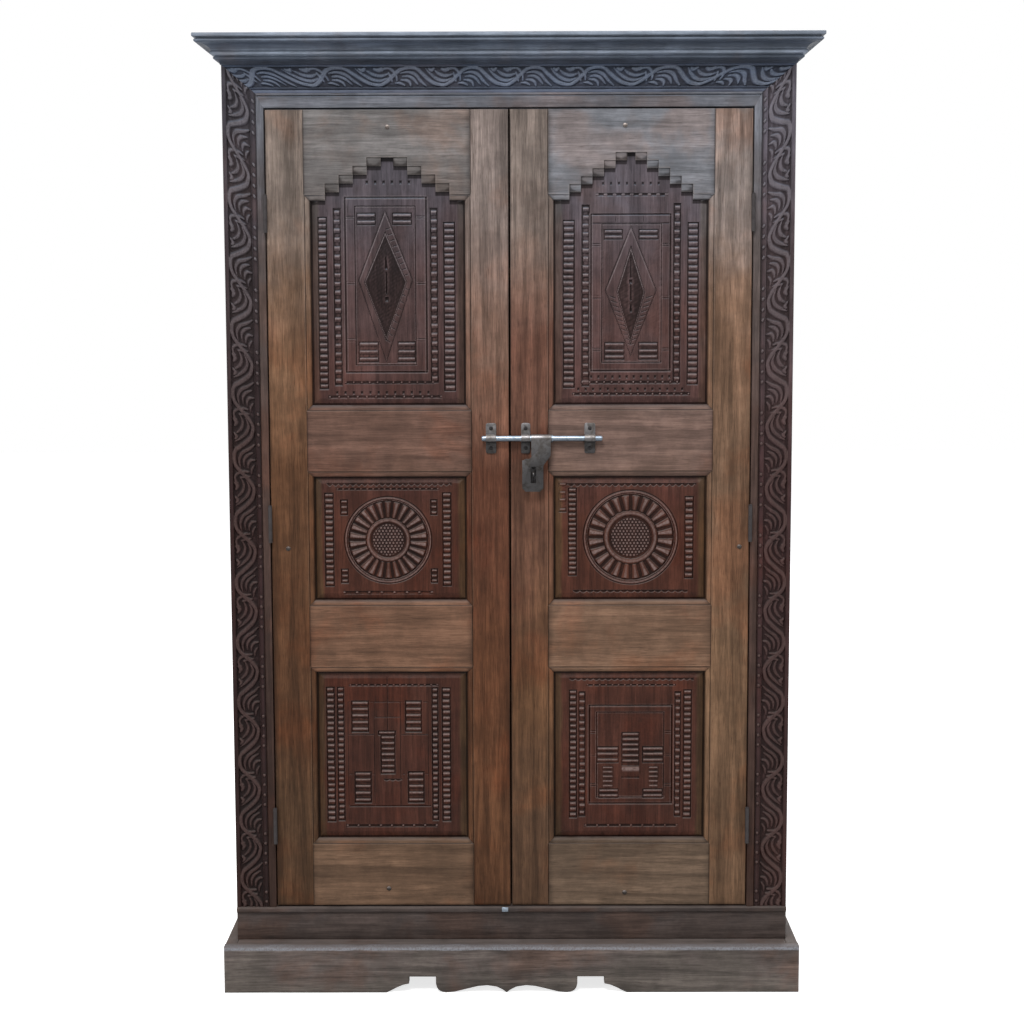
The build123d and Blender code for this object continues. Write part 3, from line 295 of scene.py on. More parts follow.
def wood(
    name, axis, stops, pale, streak=1.0, dark=0.3, gloss=0.5, hollow=0.85, dust_and_sheen=0.6, worn=0.95, drift=0.035
):
    """Old oiled wood: grain along one axis, colour by height, worn arrises with painted highlights, hollows
    darkened with dirt and painted shade, and dust with a painted sheen of sky light on what faces up.
    """
    material = bpy.data.materials.new(name)
    n = Nodes(material)
    place = n.add("ShaderNodeTexCoord").outputs["Object"]
    wear_and_highlight, cavity, above, tone, paint = n.finish_channels()
    shift = n.add("ShaderNodeCombineXYZ", {0: n.times(tone, 7.1), 1: 0.0, 2: tone}).outputs[0]
    moved = n.add("ShaderNodeVectorMath", {0: place, 1: shift}, operation="ADD").outputs[0]
    along = n.stretched(moved, axis, GRAIN_ALONG)

    figure = n.noise(along, 34.0, 5.0, 0.6, 0.9)
    streaks = n.noise(along, 120.0, 4.0, 0.65, 0.5)
    checks = n.noise(n.stretched(moved, axis, CHECK_ALONG), 60.0, 3.0, 0.5)
    fibre = n.noise(along, 420.0, 3.0, 0.6)
    pores = n.noise(along, 760.0, 2.0, 0.5)
    blotch = n.noise(moved, 5.5, 4.0, 0.6, 0.3)
    patch = n.noise(moved, 21.0, 5.0, 0.65)
    grit = n.noise(moved, 260.0, 3.0, 0.6)

    height = n.add("ShaderNodeSeparateXYZ", {0: place}).outputs[2]
    level = n.maths("DIVIDE", height, HEIGHT_SPAN)
    level = n.maths("ADD", level, n.ramp(blotch, 0.3, 0.7, -drift, drift))
    base = n.levels(level, [(z * MM / HEIGHT_SPAN, shade) for z, shade in stops])
    bands = n.ramp(figure, 0.36, 0.64, 1.0 - 0.30 * streak, 1.0 + 0.24 * streak)
    fibres = n.ramp(fibre, 0.3, 0.7, 1.0 - 0.16 * streak, 1.0 + 0.14 * streak)
    spots = n.ramp(patch, 0.35, 0.7, 0.82, 1.16)
    boards = n.maths("ADD", n.times(tone, 0.22), 0.89)
    fine = n.ramp(streaks, 0.38, 0.62, 1.0 - 0.18 * streak, 1.0 + 0.16 * streak)
    value = n.times(n.times(n.times(bands, fibres), n.times(spots, boards)), fine)
    grey = n.add("ShaderNodeCombineColor", {0: value, 1: value, 2: value}).outputs[0]
    shade = n.tinted(n.tinted(base, paint), grey)
    shade = n.mix(n.ramp(pores, 0.60, 0.72, 0.0, 0.45 * streak), shade, n.tinted(shade, PORE_TINT))
    open_grain = n.maths("ABSOLUTE", n.maths("SUBTRACT", checks, 0.5))
    open_grain = n.times(n.ramp(open_grain, 0.0, 0.012, 0.6 * streak, 0.0), n.ramp(patch, 0.48, 0.6))
    shade = n.mix(open_grain, shade, n.tinted(shade, CHECK_TINT))
    shade = n.mix(n.ramp(blotch, 0.5, 0.68, 0.0, 0.55), shade, n.tinted(shade, RED_TINT))
    # Hollows keep old dirt and painted shade, arrises are rubbed and crests carry painted highlights, and
    # what faces up gets dust and a painted sheen of sky light.
    deep = n.times(n.ramp(cavity, 0.04, 0.75), hollow)
    shade = n.mix(deep, shade, n.tinted(shade, (dark, dark * 0.92, dark * 0.9)))
    upper = n.ramp(height, *FADE_HEIGHTS)
    rubbed_and_highlit = n.times(n.ramp(wear_and_highlight, 0.05, 0.6), n.ramp(grit, 0.3, 0.62, 0.4 * worn, worn))
    shade = n.mix(rubbed_and_highlit, shade, n.mix(upper, pale[0], pale[1]))
    # painted light: upward faces are made paler and bluer, for dust and for the sky light they catch
    dust_and_sky_sheen = n.times(n.ramp(above, 0.12, 0.85), n.ramp(patch, 0.28, 0.6, 0.35, 1.0))
    shade = n.mix(n.times(dust_and_sky_sheen, dust_and_sheen), shade, n.mix(upper, LOW_DUST_AND_SHEEN, HIGH_DUST_AND_SHEEN))

    rough = n.ramp(patch, 0.3, 0.7, gloss - 0.07, gloss + 0.1)
    rough = n.maths("ADD", rough, n.times(dust_and_sky_sheen, 0.2), clamp=True)
    grain = n.maths("SUBTRACT", n.times(fibre, 0.5), n.ramp(pores, 0.58, 0.72, 0.0, 0.5))
    grain = n.maths("ADD", grain, n.times(figure, 0.8))
    grain = n.maths("ADD", grain, n.times(grit, 0.25))
    inputs = {"Base Color": shade, "Roughness": rough, "Specular IOR Level": 0.13}
    n.surface(inputs, grain, 0.55, 0.0007)
    return material


def metal(name, base, worn, rust, gloss, rusty, metallic=1.0, under=0.45):
    """Worked iron or steel, painted darker underneath as shade, with tarnish in patches, bright arrises and
    fine scratches.
    """
    material = bpy.data.materials.new(name)
    n = Nodes(material)
    place = n.add("ShaderNodeTexCoord").outputs["Object"]
    wear_and_highlight, _, above, _, paint = n.finish_channels()
    patch = n.noise(place, 70.0, 5.0, 0.65, 0.4)
    grit = n.noise(place, 900.0, 3.0, 0.6)
    scratch = n.noise(n.stretched(place, X, SCRATCH_ALONG), 1500.0, 2.0, 0.5)
    shade = n.mix(n.ramp(patch, 0.42, 0.66, 0.0, rusty), base, rust)
    # painted shade: faces turned down are darkened by under
    shade = n.mix(n.ramp(above, 0.0, 0.5), n.tinted(shade, (under, under, under)), shade)
    shade = n.mix(n.ramp(wear_and_highlight, 0.08, 0.5, 0.0, 0.8), shade, worn)
    shade = n.tinted(shade, paint)
    shade = n.mix(n.ramp(scratch, 0.5, 0.7, 0.0, 0.35), shade, n.tinted(shade, SCRATCH_TINT))
    rough = n.ramp(patch, 0.35, 0.7, gloss, gloss + 0.25)
    height = n.maths("ADD", n.times(grit, 0.5), n.times(patch, 0.6))
    inputs = {"Base Color": shade, "Roughness": rough, "Metallic": metallic}
    n.surface(inputs, height, 0.4, 0.0004)
    return material


# Colours, linear, by height in millimetres.
FADE_HEIGHTS = (1.05, 1.75)  # metres: warm and waxed below, grey and dusty above
# dust together with a painted sheen of cool light from above, low down and high up
LOW_DUST_AND_SHEEN = (0.120, 0.098, 0.090)
HIGH_DUST_AND_SHEEN = (0.150, 0.178, 0.228)
CROWN_PAINTED_LIGHT_STOPS = [  # painted light: the beads and the top's fillet are painted bright as highlights, the cove, quirks and cavetto painted dark as shade
    (1900, (0.042, 0.051, 0.072)), (1907, (0.036, 0.044, 0.063)), (1911, (0.150, 0.178, 0.228)),
    (1914, (0.150, 0.178, 0.228)), (1916, (0.044, 0.054, 0.075)), (1918, (0.044, 0.054, 0.075)),
    (1920, (0.400, 0.465, 0.570)), (1924, (0.400, 0.465, 0.570)), (1926, (0.250, 0.295, 0.370)),
    (1930, (0.100, 0.120, 0.158)), (1935, (0.068, 0.084, 0.117)), (1939, (0.070, 0.086, 0.119)),
    (1941, (0.160, 0.190, 0.240)), (1945, (0.160, 0.190, 0.240)), (1947, (0.066, 0.081, 0.112)),
    (1949, (0.066, 0.081, 0.112)), (1951, (0.205, 0.240, 0.296)), (1956, (0.270, 0.310, 0.370)),
]
FRIEZE_STOPS = [(1840, (0.060, 0.069, 0.100)), (1900, (0.054, 0.070, 0.108))]
CARVED_STOPS = [
    (150, (0.027, 0.014, 0.013)), (1000, (0.034, 0.017, 0.017)), (1450, (0.048, 0.034, 0.036)),
    (1800, (0.062, 0.056, 0.068)),
]
BAND_STOPS = [
    (150, (0.046, 0.025, 0.019)), (1100, (0.075, 0.046, 0.038)), (1500, (0.080, 0.064, 0.060)),
    (1830, (0.125, 0.130, 0.150)),
]
STILE_STOPS = {
    "left_outer_stile": [
        (320, (0.088, 0.046, 0.024)), (630, (0.090, 0.041, 0.020)), (1045, (0.098, 0.045, 0.022)),
        (1330, (0.175, 0.095, 0.054)), (1672, (0.200, 0.158, 0.134)),
    ],
    "left_inner_stile": [
        (320, (0.110, 0.048, 0.023)), (630, (0.110, 0.044, 0.021)), (1045, (0.115, 0.044, 0.025)),
        (1330, (0.175, 0.102, 0.074)), (1672, (0.215, 0.172, 0.155)),
    ],
    "right_inner_stile": [
        (320, (0.092, 0.049, 0.028)), (630, (0.142, 0.069, 0.034)), (950, (0.127, 0.060, 0.038)),
        (1330, (0.130, 0.060, 0.041)), (1672, (0.210, 0.168, 0.146)),
    ],
    "right_outer_stile": [
        (320, (0.132, 0.075, 0.043)), (630, (0.147, 0.084, 0.048)), (1045, (0.157, 0.093, 0.058)),
        (1330, (0.176, 0.101, 0.063)), (1672, (0.212, 0.174, 0.158)),
    ],
}
LEFT_RAIL_STOPS = [
    (240, (0.126, 0.075, 0.047)), (740, (0.150, 0.080, 0.050)), (1145, (0.147, 0.082, 0.061)),
    (1740, (0.158, 0.148, 0.146)),
]
RIGHT_RAIL_STOPS = [
    (240, (0.140, 0.094, 0.064)), (740, (0.173, 0.101, 0.065)), (1145, (0.160, 0.102, 0.083)),
    (1740, (0.170, 0.176, 0.195)),
]
PANEL_STOPS = [
    (490, (0.066, 0.024, 0.016)), (945, (0.076, 0.026, 0.016)), (1250, (0.080, 0.040, 0.036)),
    (1425, (0.080, 0.048, 0.047)), (1700, (0.088, 0.078, 0.092)),
]
KICK_STOPS = [(100, (0.060, 0.045, 0.040)), (170, (0.062, 0.049, 0.045))]
PLINTH_STOPS = [(0, (0.106, 0.090, 0.079)), (98, (0.110, 0.090, 0.082))]
CASE_STOPS = [
    (100, (0.070, 0.040, 0.025)), (1000, (0.082, 0.046, 0.029)), (1940, (0.085, 0.062, 0.050)),
]
INSIDE_STOPS = [(100, (0.120, 0.070, 0.040)), (1940, (0.130, 0.080, 0.048))]
PALE_DOOR = ((0.205, 0.135, 0.092), (0.285, 0.245, 0.225))
PALE_CARVED = ((0.090, 0.056, 0.050), (0.150, 0.140, 0.155))
PALE_PANEL = ((0.200, 0.138, 0.126), (0.215, 0.185, 0.195))
PALE_SLATE = ((0.250, 0.255, 0.280), (0.170, 0.198, 0.245))

CROWN_LOOK = dict(streak=0.7, gloss=0.42, dust_and_sheen=0.25, worn=0.7, drift=0.0004)
WOODS = {
    "crown": wood("crown_wood_x", X, CROWN_PAINTED_LIGHT_STOPS, PALE_SLATE, **CROWN_LOOK),
    "crown_return": wood("crown_wood_y", Y, CROWN_PAINTED_LIGHT_STOPS, PALE_SLATE, **CROWN_LOOK),
    "frieze": wood("frieze_wood", X, FRIEZE_STOPS, PALE_SLATE, 0.7, 0.28, worn=0.6),
    "architrave": wood("architrave_wood", Z, CARVED_STOPS, PALE_CARVED, 0.7, 0.34, 0.45, dust_and_sheen=0.4, worn=0.8),
    "band": wood("band_wood_z", Z, BAND_STOPS, PALE_CARVED, 0.8),
    "head_band": wood("band_wood_x", X, BAND_STOPS, PALE_SLATE, 0.8),
    **{name: wood(f"{name}_wood", Z, stops, PALE_DOOR, worn=0.6) for name, stops in STILE_STOPS.items()},
    "left_rail": wood("left_rail_wood", X, LEFT_RAIL_STOPS, PALE_DOOR, 0.8, worn=0.6),
    "right_rail": wood("right_rail_wood", X, RIGHT_RAIL_STOPS, PALE_DOOR, 0.8, worn=0.6),
    "panel": wood("panel_wood_z", Z, PANEL_STOPS, PALE_PANEL, 0.8, 0.22, 0.42, 0.95, dust_and_sheen=0.75),
    "kick": wood("kick_wood", X, KICK_STOPS, PALE_DOOR, 0.8, worn=0.5),
    "plinth": wood("plinth_wood_x", X, PLINTH_STOPS, PALE_SLATE, 0.9),
    "plinth_side": wood("plinth_wood_y", Y, PLINTH_STOPS, PALE_SLATE, 0.9),
    "side": wood("case_wood_z", Z, CASE_STOPS, PALE_DOOR, 0.9, worn=0.5),
    "top": wood("case_wood_x", X, CASE_STOPS, PALE_DOOR, 0.9, worn=0.5),
    "inside": wood("inside_wood_x", X, INSIDE_STOPS, PALE_DOOR, 0.8, dust_and_sheen=0.25, worn=0.5),
    "back": wood("inside_wood_z", Z, INSIDE_STOPS, PALE_DOOR, 0.8, dust_and_sheen=0.25, worn=0.5),
}
# Base colour, worn colour and rust, then roughness and how rusty.
HINGE_IRON = metal(
    "hinge_iron", (0.016, 0.013, 0.015), (0.06, 0.05, 0.05), (0.018, 0.011, 0.009), 0.6, 0.5, metallic=0.1
)
BOLT_STEEL = metal(
    "bolt_steel", (0.48, 0.57, 0.68), (0.66, 0.74, 0.84), (0.24, 0.29, 0.34), 0.34, 0.55, under=0.44
)
DARK_STEEL = metal(
    "worn_steel", (0.150, 0.144, 0.146), (0.36, 0.36, 0.36), (0.080, 0.070, 0.062), 0.42, 0.8
)
NAIL_IRON = metal(
    "nail_iron", (0.14, 0.12, 0.11), (0.42, 0.38, 0.35), (0.05, 0.035, 0.028), 0.4, 0.6, metallic=0.8
)


# ---------------------------------------------------------------- meshes
class Shells:
    """Closed shells that make up one piece."""

    def __init__(self):
        self.points, self.faces, self.hollow, self.crest, self.paint = [], [], [], [], []
        self.count = 0

    def add(self, points, faces, hollow=None, crest=None, paint=None):
        points = np.asarray(points, float)
        self.faces += [[index + self.count for index in face] for face in faces]
        self.points.append(points)
        self.hollow.append(np.zeros(len(points)) if hollow is None else hollow)
        self.crest.append(np.zeros(len(points)) if crest is None else crest)
        self.paint.append(np.ones((len(points), 3)) if paint is None else paint)
        self.count += len(points)
        return self


BEND_GAIN = 1.2  # how strongly a bend shows, as wear or as a hollow
UNWORN_BEND = 0.05


def finish_mesh(mesh, hollow, crest, tone, paint):
    """Writes wear and painted highlights, hollows with dirt and painted shade, upward facing, the board's
    tone and its paint, which the materials read.
    """
    count = len(mesh.vertices)
    normal, place = np.empty(count * 3), np.empty(count * 3)
    mesh.vertices.foreach_get("normal", normal)
    mesh.vertices.foreach_get("co", place)
    normal, place = normal.reshape(-1, 3), place.reshape(-1, 3)
    ends = np.empty(len(mesh.edges) * 2, int)
    mesh.edges.foreach_get("vertices", ends)
    a, b = ends.reshape(-1, 2).T
    step = place[b] - place[a]
    step /= np.maximum(np.linalg.norm(step, axis=1), 1e-9)[:, None]
    bend = np.bincount(a, (normal[a] * step).sum(1), count)
    bend -= np.bincount(b, (normal[b] * step).sum(1), count)
    bend /= np.maximum(np.bincount(ends, minlength=count), 1)
    values = np.zeros((count, 4))
    # wear on convex bends, and crests that are worn or painted as highlights
    values[:, 0] = np.clip(np.maximum(-bend * BEND_GAIN - UNWORN_BEND, crest), 0, 1)
    values[:, 1] = np.clip(np.clip(bend * BEND_GAIN, 0, 1) + np.clip(hollow, 0, 1), 0, 1)
    values[:, 2] = np.clip(normal[:, 2], 0, 1)
    values[:, 3] = tone
    attribute = mesh.attributes.new("finish", "FLOAT_COLOR", "POINT")
    attribute.data.foreach_set("color", values.astype(np.float32).ravel())
    values[:, :3], values[:, 3] = paint, 1
    attribute = mesh.attributes.new("paint", "FLOAT_COLOR", "POINT")
    attribute.data.foreach_set("color", values.astype(np.float32).ravel())


def linked(name, data):
    """A new object in the scene."""
    made = bpy.data.objects.new(name, data)
    bpy.context.scene.collection.objects.link(made)
    return made


def stand_in(name, mesh, material, slot, node, sharp):
    """Makes the mesh an object that stands for a CAD node and rides with it."""
    mesh.shade_smooth()
    mesh.set_sharp_from_angle(angle=math.radians(sharp))
    mesh.materials.append(material)
    made = linked(name, mesh)
    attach(made, frame["nodes"][node]["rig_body"])
    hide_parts(node)


TONE_SEED = 11
EVEN_TONE = 0.5  # where neighbours have to match
BOARD_SHARP = 38.0  # degrees from which an edge is shaded sharp
CARVING_SHARP = 50.0
MOULDING_SHARP = 32.0
METAL_SHARP = 35.0
tones = np.random.default_rng(TONE_SEED)


def piece(name, shells, material, slot, node, sharp=BOARD_SHARP, tone=None):
    """A piece built from shells. Each draws a tone, also where its own is given."""
    mesh = bpy.data.meshes.new(name)
    mesh.from_pydata((np.concatenate(shells.points) * MM).tolist(), [], shells.faces)
    work = bmesh.new()
    work.from_mesh(mesh)
    bmesh.ops.recalc_face_normals(work, faces=work.faces)
    work.to_mesh(mesh)
    work.free()
    drawn = tones.uniform(0, 1)
    hollow, crest, paint = (np.concatenate(kind) for kind in (shells.hollow, shells.crest, shells.paint))
    finish_mesh(mesh, hollow, crest, drawn if tone is None else tone, paint)
    stand_in(name, mesh, material, slot, node, sharp)


def from_front(u, v, w):
    return np.stack([u, w, v], axis=-1)


def mirrored_front(u, v, w):
    return np.stack([-u, w, v], axis=-1)


BACK_INSET = 3.0  # a ring on the back that keeps its shading even
HOLLOW_DEPTH = 1.6  # under its surroundings, a place is as dirty as can be


def drawn_in(field, marks):
    """A grid's coordinate brought in from both ends by BACK_INSET."""
    middle, length = (marks[0] + marks[-1]) / 2, marks[-1] - marks[0]
    return middle + (field - middle) * (1 - 2 * BACK_INSET / length)


def slab(
    us, vs, front, back, shadow, place=from_front, keep=None, warp=None, stain_and_shade=0.0, crest=0.0, paint=None
):
    """A board whose front is a relief over a grid, with a flat back.

    Hollows are found over shadow grid lines, keep says which cells stand, and warp bends the grid.
    """
    U, V = np.meshgrid(us, vs, indexing="ij")
    nu, nv = U.shape
    crest = crest + np.zeros_like(U)
    # hollows, plus the given stain, which carries painted shade as well as dark marks
    hollow = np.clip((front - blurred(front, shadow)) / HOLLOW_DEPTH, -1, 1) + stain_and_shade
    tint = np.ones((nu, nv, 3)) if paint is None else paint
    inset_u, inset_v = drawn_in(U, us), drawn_in(V, vs)
    if warp:
        U, V = warp(U, V)
        inset_u, inset_v = warp(inset_u, inset_v)
    number = np.arange(nu * nv).reshape(nu, nv)
    a, b, c, d = number[:-1, :-1], number[1:, :-1], number[1:, 1:], number[:-1, 1:]
    cells = np.stack([a, b, c, d], axis=-1)
    front_points = place(U, V, front).reshape(-1, 3)
    back_points = place(U, V, np.full_like(U, back)).reshape(-1, 3)

    def looks(extra):
        """Hollows, crests and paint of the front, and plain ones for the extra points behind."""
        shade = np.concatenate([hollow.ravel(), np.zeros(extra)])
        rubbed_and_highlit = np.concatenate([crest.ravel(), np.zeros(extra)])
        return shade, rubbed_and_highlit, np.concatenate([tint.reshape(-1, 3), np.ones((extra, 3))])

    if keep is None:
        loop = np.concatenate([number[:, 0], number[-1, 1:], number[-2::-1, -1], number[0, -2:0:-1]])
        inset_points = place(inset_u, inset_v, np.full_like(U, back)).reshape(-1, 3)[loop]
        low = nu * nv + np.arange(len(loop))
        inner = low + len(loop)
        walls = np.stack([loop, low, np.roll(low, -1), np.roll(loop, -1)], axis=-1)
        rim = np.stack([low, inner, np.roll(inner, -1), np.roll(low, -1)], axis=-1)
        faces = cells.reshape(-1, 4).tolist() + walls.tolist() + rim.tolist() + [inner.tolist()]
        points = np.concatenate([front_points, back_points[loop], inset_points])
        return Shells().add(points, faces, *looks(2 * len(loop)))
    faces = np.concatenate([cells[keep], cells[keep][:, ::-1] + nu * nv])
    padded = np.pad(keep, 1)
    i, j = np.nonzero(padded[1:-1, 1:] != padded[1:-1, :-1])
    level = np.stack([number[i, j], number[i + 1, j]], axis=-1)
    i, j = np.nonzero(padded[1:, 1:-1] != padded[:-1, 1:-1])
    upright = np.stack([number[i, j], number[i, j + 1]], axis=-1)
    walls = np.concatenate([level, upright])
    faces = np.concatenate([faces, np.concatenate([walls, walls[:, ::-1] + nu * nv], axis=1)])
    used, faces = np.unique(faces, return_inverse=True)
    points = np.concatenate([front_points, back_points])[used]
    return Shells().add(points, faces.reshape(-1, 4).tolist(), *(each[used] for each in looks(nu * nv)))


def board(shells, x, y, z, ease=EASE, step=60.0):
    """A board with rounded edges."""
    axes = []
    for low, high in (x, y, z):
        r = min(ease, (high - low) * 0.45)
        inner = evenly(low, high, step, r)
        near = [low + r + 4 * ease, high - r - 4 * ease] if high - low > 12 * ease else []
        ends = [low, low + 0.3 * r, high - 0.3 * r, high]
        axes.append(np.unique(np.concatenate([ends, inner, near]).round(4)))
    counts = [len(axis) for axis in axes]
    quads = []
    for axis in range(3):
        a, b = [other for other in range(3) if other != axis]
        i, j = np.meshgrid(np.arange(counts[a] - 1), np.arange(counts[b] - 1), indexing="ij")
        for end in (0, counts[axis] - 1):
            corners = np.zeros((*i.shape, 4, 3), int)
            corners[..., axis] = end
            for number, (di, dj) in enumerate(((0, 0), (1, 0), (1, 1), (0, 1))):
                corners[..., number, a] = i + di
                corners[..., number, b] = j + dj
            quads.append(corners.reshape(-1, 4, 3))
    keys = np.concatenate(quads)
    flat = np.ravel_multi_index(keys.reshape(-1, 3).T, counts)
    used, faces = np.unique(flat, return_inverse=True)
    index = np.unravel_index(used, counts)
    points = np.stack([axes[k][index[k]] for k in range(3)], axis=-1)
    low, high = np.array([x, y, z]).T
    radius = np.minimum(ease, (high - low) * 0.45)
    middle = np.clip(points, low + radius, high - radius)
    away = (points - middle) / radius
    length = np.maximum(np.linalg.norm(away, axis=1), 1e-9)[:, None]
    points = np.where(length > 1e-6, middle + away / np.maximum(length, 1) * radius, points)
    return shells.add(points, faces.reshape(-1, 4).tolist())


def plain_board(node, name, wooden, slot, ease):
    """A board the size of its CAD node."""
    piece(name, board(Shells(), *span_of(node), ease), WOODS[wooden], slot, node)


def sweep(profile, stations, place):
    """A closed profile run through stations: place(station, a, b) gives its points."""
    profile = np.array(profile)
    rings = [place(station, profile[:, 0], profile[:, 1]) for station in stations]
    count = len(profile)
    around = np.arange(count)
    ahead = np.roll(around, -1)
    faces = []
    for number in range(len(stations) - 1):
        low, high = number * count, (number + 1) * count
        faces += np.stack([around + low, ahead + low, ahead + high, around + high], -1).tolist()
    faces += [around.tolist(), (around[::-1] + count * (len(stations) - 1)).tolist()]
    return Shells().add(np.concatenate(rings), faces)


def lathe(shells, profile, place, sides):
    """A profile of (along, radius) turned round a line: place(along, across, up)."""
    turn = np.linspace(0, 2 * math.pi, sides, endpoint=False)
    rings, faces = [], []
    for along, radius in profile:
        ring = turn if radius > 0 else turn[:1]
        rings.append(place(np.full(len(ring), along), radius * np.cos(ring), radius * np.sin(ring)))
    starts = np.cumsum([0] + [len(ring) for ring in rings])
    for number in range(len(rings) - 1):
        low, high = starts[number], starts[number + 1]
        for k in range(sides):
            near = [low + k, low + (k + 1) % sides] if len(rings[number]) > 1 else [low]
            far = [high + (k + 1) % sides, high + k] if len(rings[number + 1]) > 1 else [high]
            faces.append(near + far)
    return shells.add(np.concatenate(rings), faces)


# ---------------------------------------------------------------- carving
BAR_SKEW = 0.25  # a bar's ridge lies above its middle
FRAME_RUB = 0.4  # wear beside the cuts of a frame


class Carving:
    """Depth cut into a face, over grid lines us and vs. The tools are those of a carver."""

    def __init__(self, us, vs, seed=0):
        self.us, self.vs = us, vs
        self.depth = np.zeros((len(us), len(vs)))
        # dark marks and painted shade in what is sunk
        self.stain_and_shade = np.zeros((len(us), len(vs)))
        self.crest = np.zeros((len(us), len(vs)))
        self.rng = np.random.default_rng(seed)

    def window(self, u, v):
        i = slice(*np.searchsorted(self.us, u))
        j = slice(*np.searchsorted(self.vs, v))
        return (i, j), self.us[i][:, None], self.vs[j][None, :]

    def sink(self, u, v, depth=CARVING_DEPTH, edge=1.2):
        """Lowers a rectangle, with sloping sides."""
        at, U, V = self.window(u, v)
        self.depth[at] = np.maximum(self.depth[at], depth * soft(inset(U, V, u, v) / edge))

    def bar(self, u, v, height=1.0):
        """Leaves a rounded bar standing in what was lowered."""
        at, U, V = self.window(u, v)
        middle, half = (v[0] + v[1]) / 2, (v[1] - v[0]) / 2
        skew = (V - middle) / half - BAR_SKEW
        skew = skew / np.where(skew > 0, 1 - BAR_SKEW, 1 + BAR_SKEW)
        across = np.sqrt(np.clip(1 - skew**2, 0, 1))
        along = soft(np.minimum(U - u[0], u[1] - U) / 1.8)
        rise = across * along
        self.depth[at] *= 1 - height * rise
        # the crest is wear on the ridge, painted as a highlight on its upper half only, as if lit from above
        self.crest[at] = np.maximum(self.crest[at], height * soft((rise - 0.6) / 0.4) * soft(0.5 + skew))

    def ladder(self, u, v, pitch, fill=0.7):
        """A sunk column of bars."""
        self.sink((u[0] - 1, u[1] + 1), (v[0] - 1, v[1] + 1))
        count = max(1, round((v[1] - v[0]) / pitch))
        pitch = (v[1] - v[0]) / count
        for number in range(count):
            left, right, up = self.rng.uniform(-0.7, 0.7, 3)
            middle = v[0] + (number + 0.5) * pitch + 0.5 * up
            half = pitch * fill / 2 * self.rng.uniform(0.9, 1.12)
            height = self.rng.uniform(0.82, 1.0)
            self.bar((u[0] + 0.8 + left, u[1] - 0.8 + right), (middle - half, middle + half), height)

    def studs(self, u, v, pitch, size=(5.0, 4.5), strip=7.0, depth=2.0):
        """A sunk strip along u that keeps a row of small studs."""
        self.sink((u[0] - 3, u[1] + 3), (v - strip / 2, v + strip / 2), depth)
        for middle in evenly(*u, pitch):
            middle += self.rng.uniform(-0.5, 0.5)
            self.bar((middle - size[0] / 2, middle + size[0] / 2), (v - size[1] / 2, v + size[1] / 2))

    def bars(self, u, levels, thick, ground=None, depth=CARVING_DEPTH):
        """A sunk block with a bar across it at each level."""
        levels = sorted(levels)
        ground = ground or (levels[0] - thick, levels[-1] + thick)
        self.sink((u[0] - 2, u[1] + 2), ground, depth)
        for level in levels:
            self.bar(u, (level - thick / 2, level + thick / 2), self.rng.uniform(0.85, 1.0))

    def notch(self, u, v, size, depth=2.4):
        """A three-cornered nick."""
        at, U, V = self.window((u - size, u + size), (v - size, v + size))
        apart = np.maximum(np.abs(U - u) * 1.1, np.abs(V - v) * 0.9 + (V - v) * 0.3)
        self.depth[at] = np.maximum(self.depth[at], depth * np.clip(1.6 * (1 - apart / (size / 2)), 0, 1))

    def notches(self, u, v, pitch, size):
        """A row of nicks along u."""
        for middle in evenly(*u, pitch):
            self.notch(middle, v, size)

    def along(self, points, width, apply):
        """Runs a tool along a line: apply(window, distance over half the width there)."""
        points = np.array(points, float)
        widths = np.broadcast_to(width, len(points))
        for (p, q), (wp, wq) in zip(zip(points, points[1:]), zip(widths, widths[1:])):
            reach = max(wp, wq) / 2 + 0.1
            low, high = np.minimum(p, q) - reach, np.maximum(p, q) + reach
            at, U, V = self.window((low[0], high[0]), (low[1], high[1]))
            step = q - p
            share = ((U - p[0]) * step[0] + (V - p[1]) * step[1]) / max(step @ step, 1e-9)
            share = np.clip(share, 0, 1)
            distance = np.hypot(U - p[0] - share * step[0], V - p[1] - share * step[1])
            apply(at, distance / (wp + (wq - wp) * share) * 2)

    def groove(self, points, width, depth):
        """A V-cut."""

        def cut(at, distance):
            self.depth[at] = np.maximum(self.depth[at], depth * np.clip(1 - distance, 0, 1))

        self.along(points, width, cut)

    def stem(self, points, width, top):
        """Leaves a rounded stem or leaf standing, up to a depth of top, with a vein along it."""

        def leave(at, distance):
            rise = np.clip(1 - distance**1.7, 0, 1) ** 0.8
            rise = rise - 0.55 * np.clip(1 - distance / 0.35, 0, 1)
            depth = top + (VINE_DEPTH - top) * (1 - rise)
            higher = (depth < self.depth[at]) & (rise > 0)
            self.crest[at] = np.where(higher, soft((rise - 0.5) / 0.35) * VINE_RUB, self.crest[at])
            self.depth[at] = np.minimum(self.depth[at], depth)

        self.along(points, width, leave)

    def stud(self, u, v, radius):
        """Leaves a half-round stud standing in what was lowered."""
        at, U, V = self.window((u - radius, u + radius), (v - radius, v + radius))
        ball = np.sqrt(np.clip(1 - ((U - u) ** 2 + (V - v) ** 2) / radius**2, 0, 1))
        self.depth[at] *= 1 - ball
        self.crest[at] = np.maximum(self.crest[at], soft(ball))

    def frame(self, u, v, width, depth):
        """A V-cut round a rectangle, rubbed on both sides."""
        corners = [(u[0], v[0]), (u[1], v[0]), (u[1], v[1]), (u[0], v[1]), (u[0], v[0])]
        self.groove(corners, width, depth)

        def rub(at, distance):
            beside = np.clip(1 - np.abs(distance - 0.8) / 0.25, 0, 1)
            self.crest[at] = np.maximum(self.crest[at], FRAME_RUB * beside)

        self.along(corners, width * 1.8, rub)

